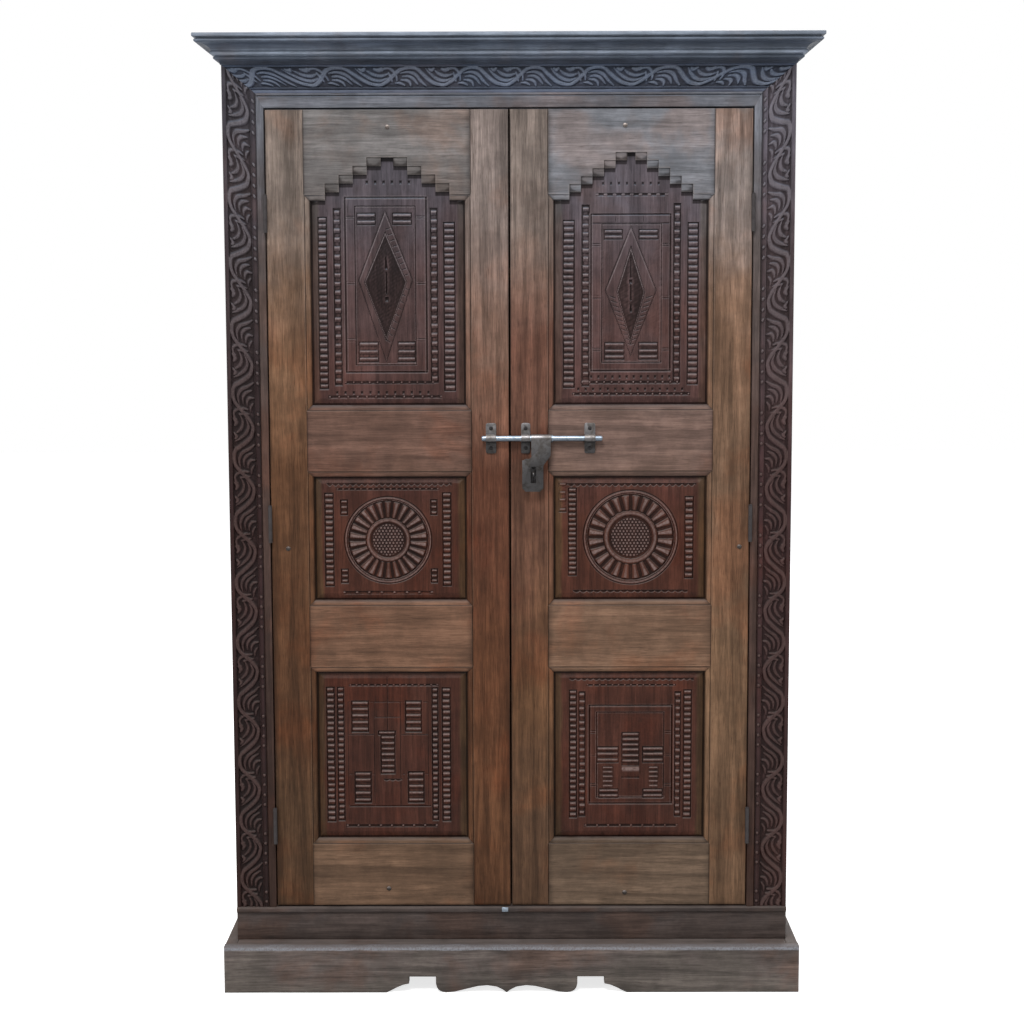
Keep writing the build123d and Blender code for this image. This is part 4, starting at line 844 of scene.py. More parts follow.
    def rhomb(self, middle, half_width, top, bottom, level, edge=3.0):
        """Brings a rhomb to one level, with sloping sides and a rubbed edge painted brighter towards its top
        as a highlight; a sunk rhomb is also darkened.
        """
        u, v = middle
        at, U, V = self.window((u - half_width, u + half_width), (bottom, top))
        reach = np.where(V > v, top - v, v - bottom)
        within = (1 - np.abs(U - u) / half_width - np.abs(V - v) / reach) * half_width
        self.depth[at] += (level - self.depth[at]) * soft(within / edge)
        rim = np.clip(1 - np.abs(within - edge * 0.7) / (edge * 0.6), 0, 1)
        # wear on the rim, paler towards the top as a painted highlight
        self.crest[at] = np.maximum(self.crest[at], 0.5 * rim * soft(0.5 + (V - v) / 60))
        if level > 0:
            self.stain_and_shade[at] = np.maximum(self.stain_and_shade[at], 0.55 * soft(within / edge))

    def ticks(self, u, levels, gap=4.5):
        """Pairs of short cuts across a band."""
        for level in levels:
            for side in (-1, 1):
                self.groove([(u[0], level + side * gap / 2), (u[1], level + side * gap / 2)], 2.4, 1.4)


def arch_height(arch, x):
    """Height of the stepped head over its shoulder at x, counted from the opening's edge."""
    out = np.abs(x - OPENING_WIDTH / 2)
    shoulder = arch["crown"] / 2 + (arch["steps"] - 1) * arch["tread"]
    steps = np.floor((shoulder - out) / arch["tread"]) + 1
    return np.clip(steps, 0, arch["steps"]) * arch["rise"]


def arch_edges(arch):
    """Where the head steps: distances from the opening's edge."""
    outs = [arch["crown"] / 2 + step * arch["tread"] for step in range(arch["steps"])]
    return [OPENING_WIDTH / 2 + side * out for side in (-1, 1) for out in outs]


OLIVE = (1.12, 1.65, 1.3)  # how the plain edges of a panel differ from its field
GREY = (1.1, 1.18, 1.02)  # the same on the panels under the arches
EDGE_STRIP = 20.0  # width of those edges
UNDERCUT = 9.0  # dark shadow below each step of the arch


def panel(name, x0, z, carve, grid, shade, arch, seed):
    """A carved panel: a bevelled field, then its own design."""
    height = z[1] - z[0]
    top = arch["steps"] * arch["rise"] if arch else 0
    us = np.linspace(-1, OPENING_WIDTH + 1, round((OPENING_WIDTH + 2) / grid))
    vs = np.linspace(-1, height + top + 1, round((height + top + 2) / grid))
    work = Carving(us, vs, seed)
    carve(work)
    U, V = us[:, None], vs[None, :]
    inside = np.minimum(np.minimum(U, OPENING_WIDTH - U), V + 0 * U)
    if not arch:
        inside = np.minimum(inside, height - V)
    edge = FIELD_MARGIN + FIELD_BEVEL
    bevel = FIELD_RISE * np.clip((edge - inside) / FIELD_BEVEL, 0, 1)
    if arch:
        bevel = np.where((V > height) & (inside < edge), FIELD_RISE, bevel)
    waves = 0.35 * (1 + ripple(U, V, 90.0, seed + 1)) + 0.12 * ripple(U, V, 14.0, seed + 2)
    wobble = 0.3 * ripple(U, V, 7.0, seed + 3) * (work.depth > 0.3)
    depth = np.maximum(bevel + 0.6 * work.depth, work.depth) + np.clip(waves + wobble, 0, 1)
    beside = np.minimum(U, OPENING_WIDTH - U) + 3 * ripple(U, V, 120.0, seed + 4)
    olive = (soft((EDGE_STRIP - beside) / 8) + 0 * V)[..., None] * (np.array(GREY if arch else OLIVE) - 1)
    # painted shadow: dark along the border, where the panel goes into its groove, and under each step of the
    # arch
    painted_shadow = 0.9 * soft((4.5 - inside) / 2.0)
    if arch:
        gap = height + arch_height(arch, U) - V
        painted_shadow = np.maximum(painted_shadow, soft((UNDERCUT - gap) / 3.0))
    stain_and_shade = np.maximum(work.stain_and_shade, painted_shadow) + 0.16 * ripple(U, V, 160.0, seed + 6)
    shells = slab(
        us + x0, vs + z[0], FIELD_Y + depth, PANEL_BACK, round(5 / grid), stain_and_shade=stain_and_shade, crest=work.crest,
        paint=shade * (1 + olive),
    )
    piece(f"{name}_carving", shells, WOODS["panel"], "panel_wood", f"{name}_panel", CARVING_SHARP)


def diamond(middle, half_width, top, bottom):
    u, v = middle
    return [(u, top), (u - half_width, v), (u, bottom), (u + half_width, v), (u, top)]


def carve_left_top(c):
    c.ladder((14.4, 33.0), (32.0, 380.0), 12.0)
    c.ladder((46.0, 61.0), (40.0, 397.0), 17.8, 0.5)
    c.ladder((242.0, 257.0), (45.0, 397.0), 17.8, 0.5)
    c.ladder((269.0, 292.0), (28.0, 369.0), 12.0)
    c.sink((90.0, 212.0), (82.0, 401.0), 1.5, 3.5)
    c.frame((70.0, 234.0), (67.0, 418.5), 4.6, 2.6)
    c.frame((90.0, 212.0), (82.0, 401.0), 3.0, 2.4)
    for u in ((72.0, 89.0), (213.0, 233.0)):
        c.ticks(u, (379.0, 248.0, 132.0))
    for u in ((94.0, 131.0), (166.0, 204.0)):
        c.bars(u, (382.0, 369.0), 7.0)
    for u in ((96.0, 135.0), (175.0, 210.0)):
        c.bars(u, (123.0, 107.5, 93.0), 7.0)
    c.rhomb((151.0, 253.0), 54.0, 392.0, 90.0, 0.0)
    c.rhomb((151.0, 249.0), 43.0, 350.0, 132.0, 1.7)
    c.groove(diamond((151.0, 253.0), 55.0, 394.0, 88.0), 3.6, 2.6)
    c.groove(diamond((151.0, 249.0), 43.0, 350.0, 132.0), 2.6, 2.2)
    c.groove(diamond((151.0, 249.0), 36.0, 330.0, 150.0), 3.4, 2.4)
    for share in np.linspace(0.12, 0.88, 9):
        u, upper, lower = 151 + 48 * (1 - share), 253 + 122 * share - 4, 253 - 140 * share
        c.groove([(u - 5, upper - 1.5), (u + 4, upper + 1.5)], 2.6, 1.8)
        c.groove([(u - 6, lower + 3), (u + 4, lower - 3)], 2.6, 1.8)
    c.groove([(151.5, 300.0), (152.5, 277.0)], (4.0, 11.0), 5.0)
    c.groove([(152.5, 268.0), (152.5, 226.0)], 4.5, 4.6)
    c.notch(153.0, 216.0, 11.0, 4.8)
    c.notches((115.0, 200.0), 450.0, 17.0, 7.0)
    c.studs((68.0, 246.0), 46.0, 16.2)
    c.notches((50.0, 236.0), 26.0, 16.2, 6.0)
    c.studs((35.0, 262.0), 16.5, 18.4)


def carve_right_top(c):
    c.ladder((18.8, 42.2), (33.5, 372.0), 12.2)
    c.ladder((57.3, 72.4), (37.0, 402.0), 16.6, 0.5)
    c.ladder((243.0, 257.0), (43.5, 405.0), 16.6, 0.5)
    c.ladder((271.5, 293.5), (40.0, 367.0), 12.2)
    c.studs((88.0, 228.0), 423.0, 17.0, (9.0, 5.0))
    c.sink((97.5, 218.0), (85.4, 364.0), 1.5, 3.5)
    c.frame((75.7, 236.5), (68.6, 383.5), 4.6, 2.6)
    c.groove([(78.0, 366.0), (234.0, 366.0)], 3.0, 2.2)
    c.frame((97.5, 218.0), (85.4, 364.0), 3.0, 2.4)
    for u in ((78.0, 96.0), (219.5, 235.0)):
        c.ticks(u, (323.0, 218.0, 112.0))
    for u in (127.6, 184.6):
        for side in (-2.2, 2.2):
            c.groove([(u + side, 368.0), (u + side, 382.0)], 2.4, 1.4)
    for u in ((103.0, 139.0), (173.0, 211.0)):
        c.bars(u, (349.0, 338.0), 6.0)
    for u in ((104.0, 143.0), (173.0, 211.0)):
        c.bars(u, (121.0, 108.0, 96.0), 6.5)
    c.rhomb((156.5, 231.5), 51.0, 359.0, 101.0, 0.0)
    c.rhomb((156.5, 228.0), 28.5, 320.0, 122.0, 1.7)
    c.groove(diamond((156.5, 231.5), 52.0, 361.0, 99.0), 3.6, 2.6)
    c.groove(diamond((156.5, 228.0), 28.5, 320.0, 122.0), 2.6, 2.2)
    for share in np.linspace(0.1, 0.9, 11):
        for side in (-1, 1):
            u, v = 156.5 + side * 41 * (1 - share), 229.5 - 118 * share
            c.groove([(u - 6, v - side * 2), (u + 6, v + side * 2)], 2.6, 1.8)
    c.groove([(156.5, 297.0), (156.5, 257.0)], 4.0, 4.6)
    c.notch(156.5, 250.0, 10.0, 4.8)
    c.groove([(156.5, 243.0), (156.5, 211.0)], 4.5, 4.6)
    c.groove([(156.5, 202.0), (157.0, 189.0)], (4.0, 10.0), 5.0)
    c.notches((100.0, 212.0), 446.0, 17.0, 6.0)
    c.notches((62.0, 250.0), 57.0, 15.0, 6.0)
    c.studs((58.0, 252.0), 45.0, 15.0)
    c.notches((50.0, 262.0), 32.0, 15.0, 6.0)
    c.studs((40.0, 275.0), 21.0, 15.0)


GRAIN_PITCH = (7.2, 6.2)  # studs in a rosette's hub
GRAIN_RADIUS = 3.2


def rosette(c, u, v, radius, petals, hub):
    """Rings, tapered petals round a ring, and a hub of small round studs."""
    at, U, V = c.window((u - radius - 4, u + radius + 4), (v - radius - 4, v + radius + 4))
    r = np.hypot(U - u, V - v)
    angle = np.arctan2(V - v, U - u)
    turn = np.abs(((angle / (2 * math.pi) * petals) % 1) - 0.5) * 2
    depth = np.zeros_like(r)
    for ring, width in ((radius, 3.4), (radius * 0.935, 3.0)):
        depth = np.maximum(depth, 2.2 * np.clip(1 - np.abs(r - ring) / (width / 2), 0, 1))
    inner, outer = hub * 1.34, radius * 0.905
    share = np.clip((r - inner) / (outer - inner), 0, 1)
    wide = 0.56 + 0.2 * share
    ridge = np.sqrt(np.clip(1 - (turn / wide) ** 2, 0, 1))
    ends = soft((r - inner) / 2.5) * soft((outer - r) / 4.0)
    field = soft((r - inner + 1.5) / 1.5) * soft((outer + 2 - r) / 2.0)
    petal = (CARVING_DEPTH + 0.6) * (1 - ridge * ends * (0.7 + 0.3 * share))
    depth = np.where(field > 0, np.maximum(depth, petal * field), depth)
    trough = soft((hub * 1.12 - r) / 1.5) * CARVING_DEPTH
    collar = np.clip(1 - ((r - hub * 1.22) / (hub * 0.13)) ** 2, 0, 1)
    depth = np.where(r < inner, np.maximum(trough, 2.4 * (1 - np.sqrt(collar))), depth)
    row = np.round((V - v) / GRAIN_PITCH[1])
    across = np.round((U - u) / GRAIN_PITCH[0] - 0.5 * (row % 2)) + 0.5 * (row % 2)
    dot = np.hypot(U - u - across * GRAIN_PITCH[0], V - v - row * GRAIN_PITCH[1]) / GRAIN_RADIUS
    dome = 0.9 * (1 - (r / hub) ** 2)
    grains = np.sqrt(np.clip(1 - dot**2, 0, 1)) * (r < hub - 1.5)
    depth = np.where(r < hub, CARVING_DEPTH - dome - 1.3 * grains, depth)
    c.depth[at] = np.maximum(c.depth[at], np.maximum(depth, 0))
    c.stain_and_shade[at] = np.where(r < hub, 1.0 - 0.4 * grains, np.where(field > 0, 0.25 * field, c.stain_and_shade[at]))
    # painted highlight: petals that lie across are made paler than upright ones, as if lit from above
    petals = soft((ridge * ends - 0.78) / 0.22) * (0.45 + 0.4 * share) * (0.4 + 0.6 * np.abs(np.cos(angle)))
    rings = np.clip(1 - np.abs(r - radius * 0.967) / 2.2, 0, 1) * 0.5
    crest = np.where(field > 0, np.maximum(petals * field, 0), rings)
    crest = np.where(r < inner, 0.4 * soft((collar - 0.5) * 2), crest)
    c.crest[at] = np.maximum(c.crest[at], np.where(r < hub, 0.5 * soft((grains - 0.5) * 2), crest))


def scallops(c, u, v, pitch, drop=5.0):
    """A sunk strip over a row of little arches."""
    at, U, V = c.window(u, (v - drop - 4, v + 3))
    wave = np.abs(np.sin((U - u[0]) / pitch * math.pi)) * drop
    c.depth[at] = np.maximum(c.depth[at], 1.9 * soft((v - V) / 1.2) * soft((V - (v - 3 - wave)) / 1.2))


def carve_left_middle(c):
    scallops(c, (26.0, 282.0), 243.0, 12.0)
    c.studs((48.0, 254.0), 229.5, 11.8, (6.0, 3.6), 5.5)
    for u in ((21.0, 39.0), (263.0, 281.0)):
        c.ladder(u, (28.0, 222.0), 11.5)
    for u in ((54.5, 67.5), (239.5, 251.5)):
        c.bars(u, (203.0, 191.5, 180.0), 5.5)
        c.bars(u, (60.0, 49.0, 39.0), 5.5)
    rosette(c, 151.0, 124.0, 89.7, 26, 33.5)
    c.studs((60.0, 240.0), 14.8, 26.6, (6.5, 5.0), 8.0)


def carve_right_middle(c):
    scallops(c, (16.0, 292.0), 241.0, 13.0)
    c.ladder((29.5, 47.0), (49.0, 231.0), 10.1)
    c.ladder((269.0, 287.0), (43.0, 213.0), 12.0)
    c.bars((11.0, 25.0), (238.0, 221.0, 206.0, 186.0), 5.0, (180.0, 242.0), 1.8)
    rosette(c, 158.0, 128.8, 97.5, 24, 41.0)
    scallops(c, (40.0, 276.0), 20.0, 14.0, 4.0)


def carve_left_bottom(c):
    c.studs((69.0, 250.0), 324.0, 12.5, (6.0, 3.6), 5.5)
    c.ladder((19.0, 36.0), (34.0, 320.0), 11.9)
    c.ladder((41.5, 55.5), (36.0, 320.0), 11.9)
    c.ladder((238.0, 251.0), (36.0, 318.0), 11.9)
    c.ladder((259.0, 277.0), (34.0, 318.0), 11.9)
    for u in ((72.0, 106.0), (183.5, 216.0)):
        c.bars(u, (285.0, 272.0, 258.5, 244.0, 230.0), 7.0)
        c.bars((u[0] + 5, u[1] + 4), (134.5, 122.0, 108.5, 94.0, 79.5), 7.0)
    c.bars((127.0, 161.0), (222.5,), 6.0, (217.0, 228.0))
    c.bars((132.0, 160.0), (212.0, 200.0, 188.0, 176.0, 163.5, 151.5, 140.5), 6.2)
    for u in (64.0, 118.0, 172.5, 230.0):
        c.groove([(u, 288.0), (u, 68.0)], 1.8, 1.0)
    for v in (288.0, 219.0, 135.5):
        for low, high in ((64.0, 118.0), (172.5, 230.0)):
            c.groove([(low, v), (high, v)], 2.0, 1.3)
    for v in (288.0, 256.0):
        c.groove([(119.0, v), (172.0, v)], 2.4, 1.6)
    c.groove([(145.5, 340.0), (145.5, 228.0)], 2.0, 1.6)
    c.groove([(66.0, 67.0), (234.0, 67.0)], 3.4, 2.2)
    scallops(c, (137.0, 175.0), 126.0, 12.0, 3.0)
    c.studs((60.0, 246.0), 25.3, 23.0, (6.0, 4.5), 6.5)


def carve_right_bottom(c):
    scallops(c, (32.0, 290.0), 338.5, 12.5, 3.5)
    c.studs((70.0, 250.0), 323.0, 12.5, (5.5, 3.6), 5.0)
    c.ladder((32.0, 47.5), (41.0, 313.0), 11.9)
    c.ladder((51.6, 65.5), (44.0, 309.0), 14.8, 0.55)
    c.ladder((250.8, 263.5), (44.0, 309.0), 14.8, 0.55)
    c.ladder((269.0, 286.0), (41.0, 313.0), 11.9)
    c.sink((89.0, 228.5), (85.4, 265.6), 1.3, 3.5)
    c.frame((74.0, 245.3), (72.2, 279.8), 4.4, 2.6)
    c.frame((89.0, 228.5), (85.4, 265.6), 3.0, 2.4)
    for u in ((76.0, 87.5), (230.0, 243.5)):
        c.ticks(u, (224.0, 176.0, 112.0))
    c.bars((142.0, 177.0), (218.0, 207.0, 196.0, 185.0, 173.0, 161.5), 6.6, (124.0, 224.0))
    c.bar((140.0, 179.0), (129.0, 152.0))
    for u in ((90.0, 134.0), (185.0, 227.0)):
        c.bars(u, (187.0, 176.0, 163.5), 7.0)
    for u in ((101.0, 123.0), (197.0, 217.0)):
        c.bars(u, (147.5, 138.0, 128.5, 118.5, 108.5), 5.0, (103.0, 152.0), 1.8)
    for u in ((94.0, 134.0), (186.0, 226.0)):
        c.bars(u, (98.5, 88.0), 6.0)
    c.studs((66.0, 256.0), 25.0, 24.0, (6.0, 4.5), 6.5)


PANEL_SEED = 21
PANELS = [  # name, left edge, span in height, carving, grid step, shade and arch
    ("left_top", OPENING_X[0], TOP_Z, carve_left_top, 1.35, 0.94, LEFT_ARCH),
    ("left_middle", OPENING_X[0], MIDDLE_Z, carve_left_middle, 1.0, 0.8, None),
    ("left_bottom", OPENING_X[0], BOTTOM_Z, carve_left_bottom, 1.15, 0.82, None),
    ("right_top", -OPENING_X[1], TOP_Z, carve_right_top, 1.35, 1.12, RIGHT_ARCH),
    ("right_middle", -OPENING_X[1], MIDDLE_Z, carve_right_middle, 1.0, 1.0, None),
    ("right_bottom", -OPENING_X[1], BOTTOM_Z, carve_right_bottom, 1.15, 0.84, None),
]
for seed, row in enumerate(PANELS, PANEL_SEED):
    panel(*row, seed)


# ---------------------------------------------------------------- door frames
def out_of_openings(V):
    """Height away from the nearest opening, up to the width of the sticking."""
    away = np.full(np.shape(V), STICKING)
    for low, high in OPENINGS:
        away = np.minimum(away, np.maximum(np.maximum(low - V, V - high), 0))
    return away


def sticking(U, V):
    """Depth of the moulding round the three openings: a quirk, then a round down to the panel."""
    depth = np.zeros(np.broadcast(U, V).shape)
    for z in OPENINGS:
        away = -inset(U, V, OPENING_X, z)
        share = np.clip(1 - away / QUIRK_INNER, 0, 1)
        curve = STICKING_TOP + (STICKING_DEPTH - STICKING_TOP) * (1 - np.sqrt(1 - share**2))
        quirk = STICKING_QUIRK * np.clip(1 - np.abs(away - QUIRK_MIDDLE) / (STICKING - QUIRK_MIDDLE), 0, 1)
        depth = np.maximum(depth, np.where(away < QUIRK_INNER, curve, quirk))
    return depth


def sticking_dirt_and_painted_light(U, V):
    """Dirt and painted shade in the quirk and beside the panel, and wear with a painted highlight on the
    arris next to the quirk.
    """
    dirt_and_painted_shade, rubbed_and_highlit = np.zeros((2, *np.broadcast(U, V).shape))
    for z in OPENINGS:
        away = -inset(U, V, OPENING_X, z)
        dirt_and_painted_shade = np.maximum(dirt_and_painted_shade, 0.85 * np.clip(1.3 - np.abs(away - QUIRK_MIDDLE) / 1.1, 0, 1))
        dirt_and_painted_shade = np.maximum(dirt_and_painted_shade, 0.5 * soft((4.5 - away) / 3) * (away > -0.5))
        rubbed_and_highlit = np.maximum(rubbed_and_highlit, 0.4 * np.clip(1.2 - np.abs(away - STICKING - 0.5) / 0.9, 0, 1))
    return dirt_and_painted_shade, rubbed_and_highlit


def door_board(
    node, x, z, place, material, seed, fine_u, fine_v, shape, marks=((), ()), keep=None, cut=None
):
    """A stile or rail, with its part of the sticking. shape bends its ends to the mitres."""
    us = grid_lines(*x, 4.5, fine_u, marks[0])
    vs = grid_lines(*z, 7.0, fine_v, marks[1])
    U, V = np.meshgrid(us, vs, indexing="ij")
    border = inset(U, V, x, z)
    U = shape(U, V)
    depth = np.maximum(sticking(U, V), eased(border, JOINT_EASE))
    depth = depth + 0.3 * (1 + ripple(U, V, 140.0, seed)) + 0.12 * (1 + ripple(U, V, 23.0, seed + 1))
    if cut:
        depth = np.maximum(depth, cut(U, V))
    cells = keep((us[1:] + us[:-1])[:, None] / 2, (vs[1:] + vs[:-1])[None, :] / 2) if keep else None
    # painted shade in the quirk and beside the panel and a painted highlight on the arris; then the board's
    # edges are darkened where it meets the next part
    dirt_and_painted_shade, rubbed_and_highlit = sticking_dirt_and_painted_light(U, V)
    dirt_and_painted_shade = np.maximum(dirt_and_painted_shade, 0.7 * soft((1.8 - border) / 1.2))

    def bent(u, v):
        return shape(u, v), v

    shells = slab(us, vs, DOOR_Y[0] + depth, DOOR_Y[1], 3, place, cells, bent, dirt_and_painted_shade, rubbed_and_highlit)
    piece(f"{node}_board", shells, material, "door_wood", node)


def grid_lines(low, high, step, fine, marks):
    """Grid lines at a step, close together beside each fine line, with a hair's breadth at each mark."""
    found = [evenly(low, high, step)]
    found.append([low + JOINT_EASE * share for share in (0.3, 1)])
    found.append([high - JOINT_EASE * share for share in (0.3, 1)])
    found += [line + np.arange(-STICKING - 1.2, STICKING + 1.3, 0.65) for line in fine]
    found += [[mark - HAIR / 2, mark + HAIR / 2] for mark in marks]
    together = np.unique(np.concatenate(found).round(4))
    together = together[(together >= low) & (together <= high)]
    kept = [together[0]]
    guarded = {round(mark + side * HAIR / 2, 4) for mark in marks for side in (-1, 1)} | {low, high}
    for line in together[1:]:
        if line in guarded or line - kept[-1] > 0.2:
            if line in guarded and line - kept[-1] < 0.2 and kept[-1] not in guarded:
                kept.pop()
            kept.append(line)
    return np.array(kept)


MITRE_STRETCH = 30.0  # how much of a stile's width takes up its mitres
RAIL_STRETCH = 5.0  # and how much of a rail's length at each end


def door(side, arch, place, seed):
    """The stiles and rails of one door, each bent to the mitres of the sticking."""
    planes = [plane for span in OPENINGS for plane in span]
    middle = (OPENING_X[0] + OPENING_X[1]) / 2

    def outer_shape(U, V):
        return U - out_of_openings(V) * np.clip((U - OPENING_X[0] + MITRE_STRETCH) / MITRE_STRETCH, 0, 1)

    def inner_shape(U, V):
        return U + out_of_openings(V) * np.clip((OPENING_X[1] + MITRE_STRETCH - U) / MITRE_STRETCH, 0, 1)

    def rail_shape(U, V):
        far = np.abs(U - middle) - (OPENING_WIDTH / 2 - RAIL_STRETCH)
        return U + np.sign(U - middle) * out_of_openings(V) * np.clip(far / RAIL_STRETCH, 0, 1)

    stiles = {
        "outer_stile": ((DOOR_X[0] + 0.15, OPENING_X[0]), outer_shape, OPENING_X[0]),
        "inner_stile": ((OPENING_X[1], DOOR_X[1]), inner_shape, OPENING_X[1]),
    }
    for name, (x, shape, line) in stiles.items():
        seed += 2
        node = f"{side}_{name}"
        door_board(node, x, DOOR_Z, place, WOODS[node], seed, [line], planes, shape)
    rails = {
        "bottom_rail": (DOOR_Z[0], BOTTOM_Z[0]),
        "lower_rail": (BOTTOM_Z[1], MIDDLE_Z[0]),
        "lock_rail": (MIDDLE_Z[1], TOP_Z[0]),
    }
    wooden = WOODS[f"{side}_rail"]
    for name, z in rails.items():
        seed += 2
        door_board(f"{side}_{name}", OPENING_X, z, place, wooden, seed, (), planes, rail_shape)

    def over_arch(U, V):
        return V - TOP_Z[1] > arch_height(arch, U - OPENING_X[0])

    def blocks(U, V):
        foot = arch_height(arch, U - OPENING_X[0])
        up = (V - TOP_Z[1] - foot) / arch["rise"]
        slot = np.abs(U - middle) < arch["crown"] / 2
        lean = ARCH_BLOCK_SINK + ARCH_BLOCK_BEVEL * (1 - np.clip(up, 0, 1)) ** 2
        return np.where((foot > 0) & (up < 1) & ~slot, lean, 0)

    levels = [TOP_Z[1] + step * arch["rise"] for step in range(1, arch["steps"] + 2)]
    steps = [OPENING_X[0] + edge for edge in arch_edges(arch)]
    door_board(
        f"{side}_top_rail", OPENING_X, (TOP_Z[1], DOOR_Z[1]), place, wooden, seed + 2, (), [TOP_Z[1]],
        rail_shape, (steps, levels), over_arch, blocks,
    )


door("left", LEFT_ARCH, from_front, 40)
door("right", RIGHT_ARCH, mirrored_front, 70)

# ---------------------------------------------------------------- carved frame
# One length of the vine: across from the outer edge, and up, over VINE_WIDTH by VINE_PERIOD.
VINE_STEM = [
    (41.8, 125.0), (37.6, 108.5), (28.2, 96.0), (15.7, 84.0), (5.4, 74.0), (3.2, 59.5),
    (6.6, 45.0), (17.8, 33.0), (31.0, 20.5), (40.0, 8.0), (41.8, 0.0),
]
VINE_LEAVES = [  # a leaf's line and its widths along it
    ([(27.0, 143.0), (32.5, 129.0), (28.0, 114.0), (16.5, 101.0), (5.5, 92.5)], (2.0, 5.5, 6.0, 4.5, 1.8)),
    ([(17.0, 146.0), (21.5, 133.0), (18.0, 120.0), (9.0, 110.0)], (2.0, 5.5, 5.5, 2.0)),
    ([(4.0, 137.0), (8.5, 131.0), (6.0, 124.0)], (5.0, 8.0, 4.0)),
    ([(5.0, 108.0), (9.0, 103.0), (6.0, 98.0)], (4.0, 6.5, 3.5)),
    ([(15.5, 43.0), (13.0, 58.0), (19.5, 72.0), (32.5, 82.0), (44.0, 93.0)], (2.0, 5.0, 6.0, 5.0, 2.0)),
    ([(23.0, 46.0), (22.5, 58.0), (28.5, 68.0), (40.0, 76.0)], (2.0, 5.0, 5.5, 2.0)),
    ([(30.5, 43.0), (31.0, 53.0), (36.0, 60.0), (44.0, 62.0)], (2.0, 5.0, 5.0, 2.5)),
    ([(37.0, 33.0), (37.5, 42.0), (42.0, 50.0)], (2.0, 4.5, 2.5)),
    (
        [(31.0, 36.0), (22.0, 35.5), (11.0, 31.0), (4.5, 24.0), (5.5, 15.0), (10.0, 11.5)],
        (2.5, 4.5, 5.0, 5.0, 4.5, 2.5),
    ),
    ([(33.0, 27.0), (24.0, 25.5), (15.0, 22.5)], (3.0, 5.0, 3.0)),
]
BEAD_LEVELS = (19.5, 40.0, 61.5, 82.0)  # down from the head of one length
BEAD_RADIUS = 3.3
LEAF_FULLNESS = 1.45
FRIEZE_BEAD = 5.0  # the plain bead along the frieze's lower edge
STEM_WIDTH = 10.5
STRIP_GRID = 1.3


def carve_vine(c, length, width):
    """Repeats the vine over a length. c.us runs across from the inner edge."""
    share = width / VINE_WIDTH
    for number in range(-1, math.ceil(length / VINE_PERIOD) + 1):
        foot = number * VINE_PERIOD

        def placed(points):
            return [(width - u * share, foot + v) for u, v in curve_through(points)]

        for points, widths in VINE_LEAVES:
            line = placed(points)
            even = np.interp(np.linspace(0, 1, len(line)), np.linspace(0, 1, len(widths)), widths)
            c.stem(line, even * LEAF_FULLNESS * (0.8 + 0.2 * share), 0.7)
        c.stem(placed(VINE_STEM), STEM_WIDTH * share, 0.0)


def carved_strip(across, length, fillet, seed, beads):
    """Depths of a carved board over across by length: strip of beads or plain bead, vine and fillet."""
    vine = across - BEAD_STRIP - fillet
    us = np.linspace(0, vine, round(vine / STRIP_GRID))
    vs = np.linspace(0, length, round(length / STRIP_GRID))
    c = Carving(us, vs)
    c.depth += VINE_DEPTH - 0.4 * (1 + ripple(us[:, None], vs[None, :], 9.0, seed))
    carve_vine(c, length, vine)
    c.depth *= np.clip(np.minimum(us, vine - us)[:, None] / 1.2, 0, 1)
    strip_us = np.linspace(0, BEAD_STRIP - 0.6, round(BEAD_STRIP / (STRIP_GRID * 0.6)))
    strip = Carving(strip_us, vs)
    if beads:
        strip.depth += 2.4 * soft(np.minimum(strip_us, BEAD_STRIP - strip_us))[:, None]
        for number in range(math.ceil(length / VINE_PERIOD) + 1):
            for drop in BEAD_LEVELS:
                strip.stud(BEAD_STRIP * 0.5, length - number * VINE_PERIOD - drop, BEAD_RADIUS)
    else:
        strip.depth += 1.2 * (np.clip(strip_us / FRIEZE_BEAD, 0, 1) ** 2)[:, None]
        strip.depth += 2.2 * soft(1 - np.abs(strip_us - FRIEZE_BEAD - 1.6) / 1.8)[:, None]
    edge_us = np.array([0.0, 0.3, 0.8, 1.5, fillet / 2, fillet - 1.5, fillet - 0.8, fillet - 0.3, fillet])
    edge_depth = 0.2 + eased(np.minimum(edge_us, fillet - edge_us), 1.2)[:, None] + np.zeros((1, len(vs)))
    us = np.concatenate([strip_us, us + BEAD_STRIP, np.unique(edge_us)[1:] + BEAD_STRIP + vine])
    depth = np.concatenate([strip.depth, c.depth, edge_depth[1:]])
    crest = np.concatenate([strip.crest, c.crest, 0 * edge_depth[1:]])
    waves = 0.35 * (1 + ripple(us[:, None], vs[None, :], 160.0, seed + 5))
    return us, vs, np.clip(depth + waves, 0, None), crest


def architrave(side, place, seed, shade):
    """The upright carved board of one side, mitred to the frieze. shade is its paint."""
    width = HALF_WIDTH - JAMB_OUTER
    rise = FRIEZE_Z[1] - FRIEZE_Z[0]
    length = FRIEZE_Z[0] - DOORWAY_Z[0]
    us, vs, depth, crest = carved_strip(width, length, OUTER_FILLET, seed, beads=True)
    foot = 0.45

    def mitred(U, V):
        up = np.clip((V - DOORWAY_Z[0]) / length - foot, 0, 1) / (1 - foot)
        return U, V + up * rise * (U - JAMB_OUTER) / width

    shells = slab(
        us + JAMB_OUTER, vs + DOORWAY_Z[0], FRONT + depth, FRAME_BACK, 5, place, warp=mitred, crest=crest,
        paint=np.full((*depth.shape, 3), shade),
    )
    node = f"architrave_{side}"
    piece(f"carved_{node}", shells, WOODS["architrave"], "carved_frame_wood", node, CARVING_SHARP)


def along_frieze(u, v, w):
    """Grid across the board runs up, and grid along it runs in x."""
    return np.stack([v, w, u], axis=-1)


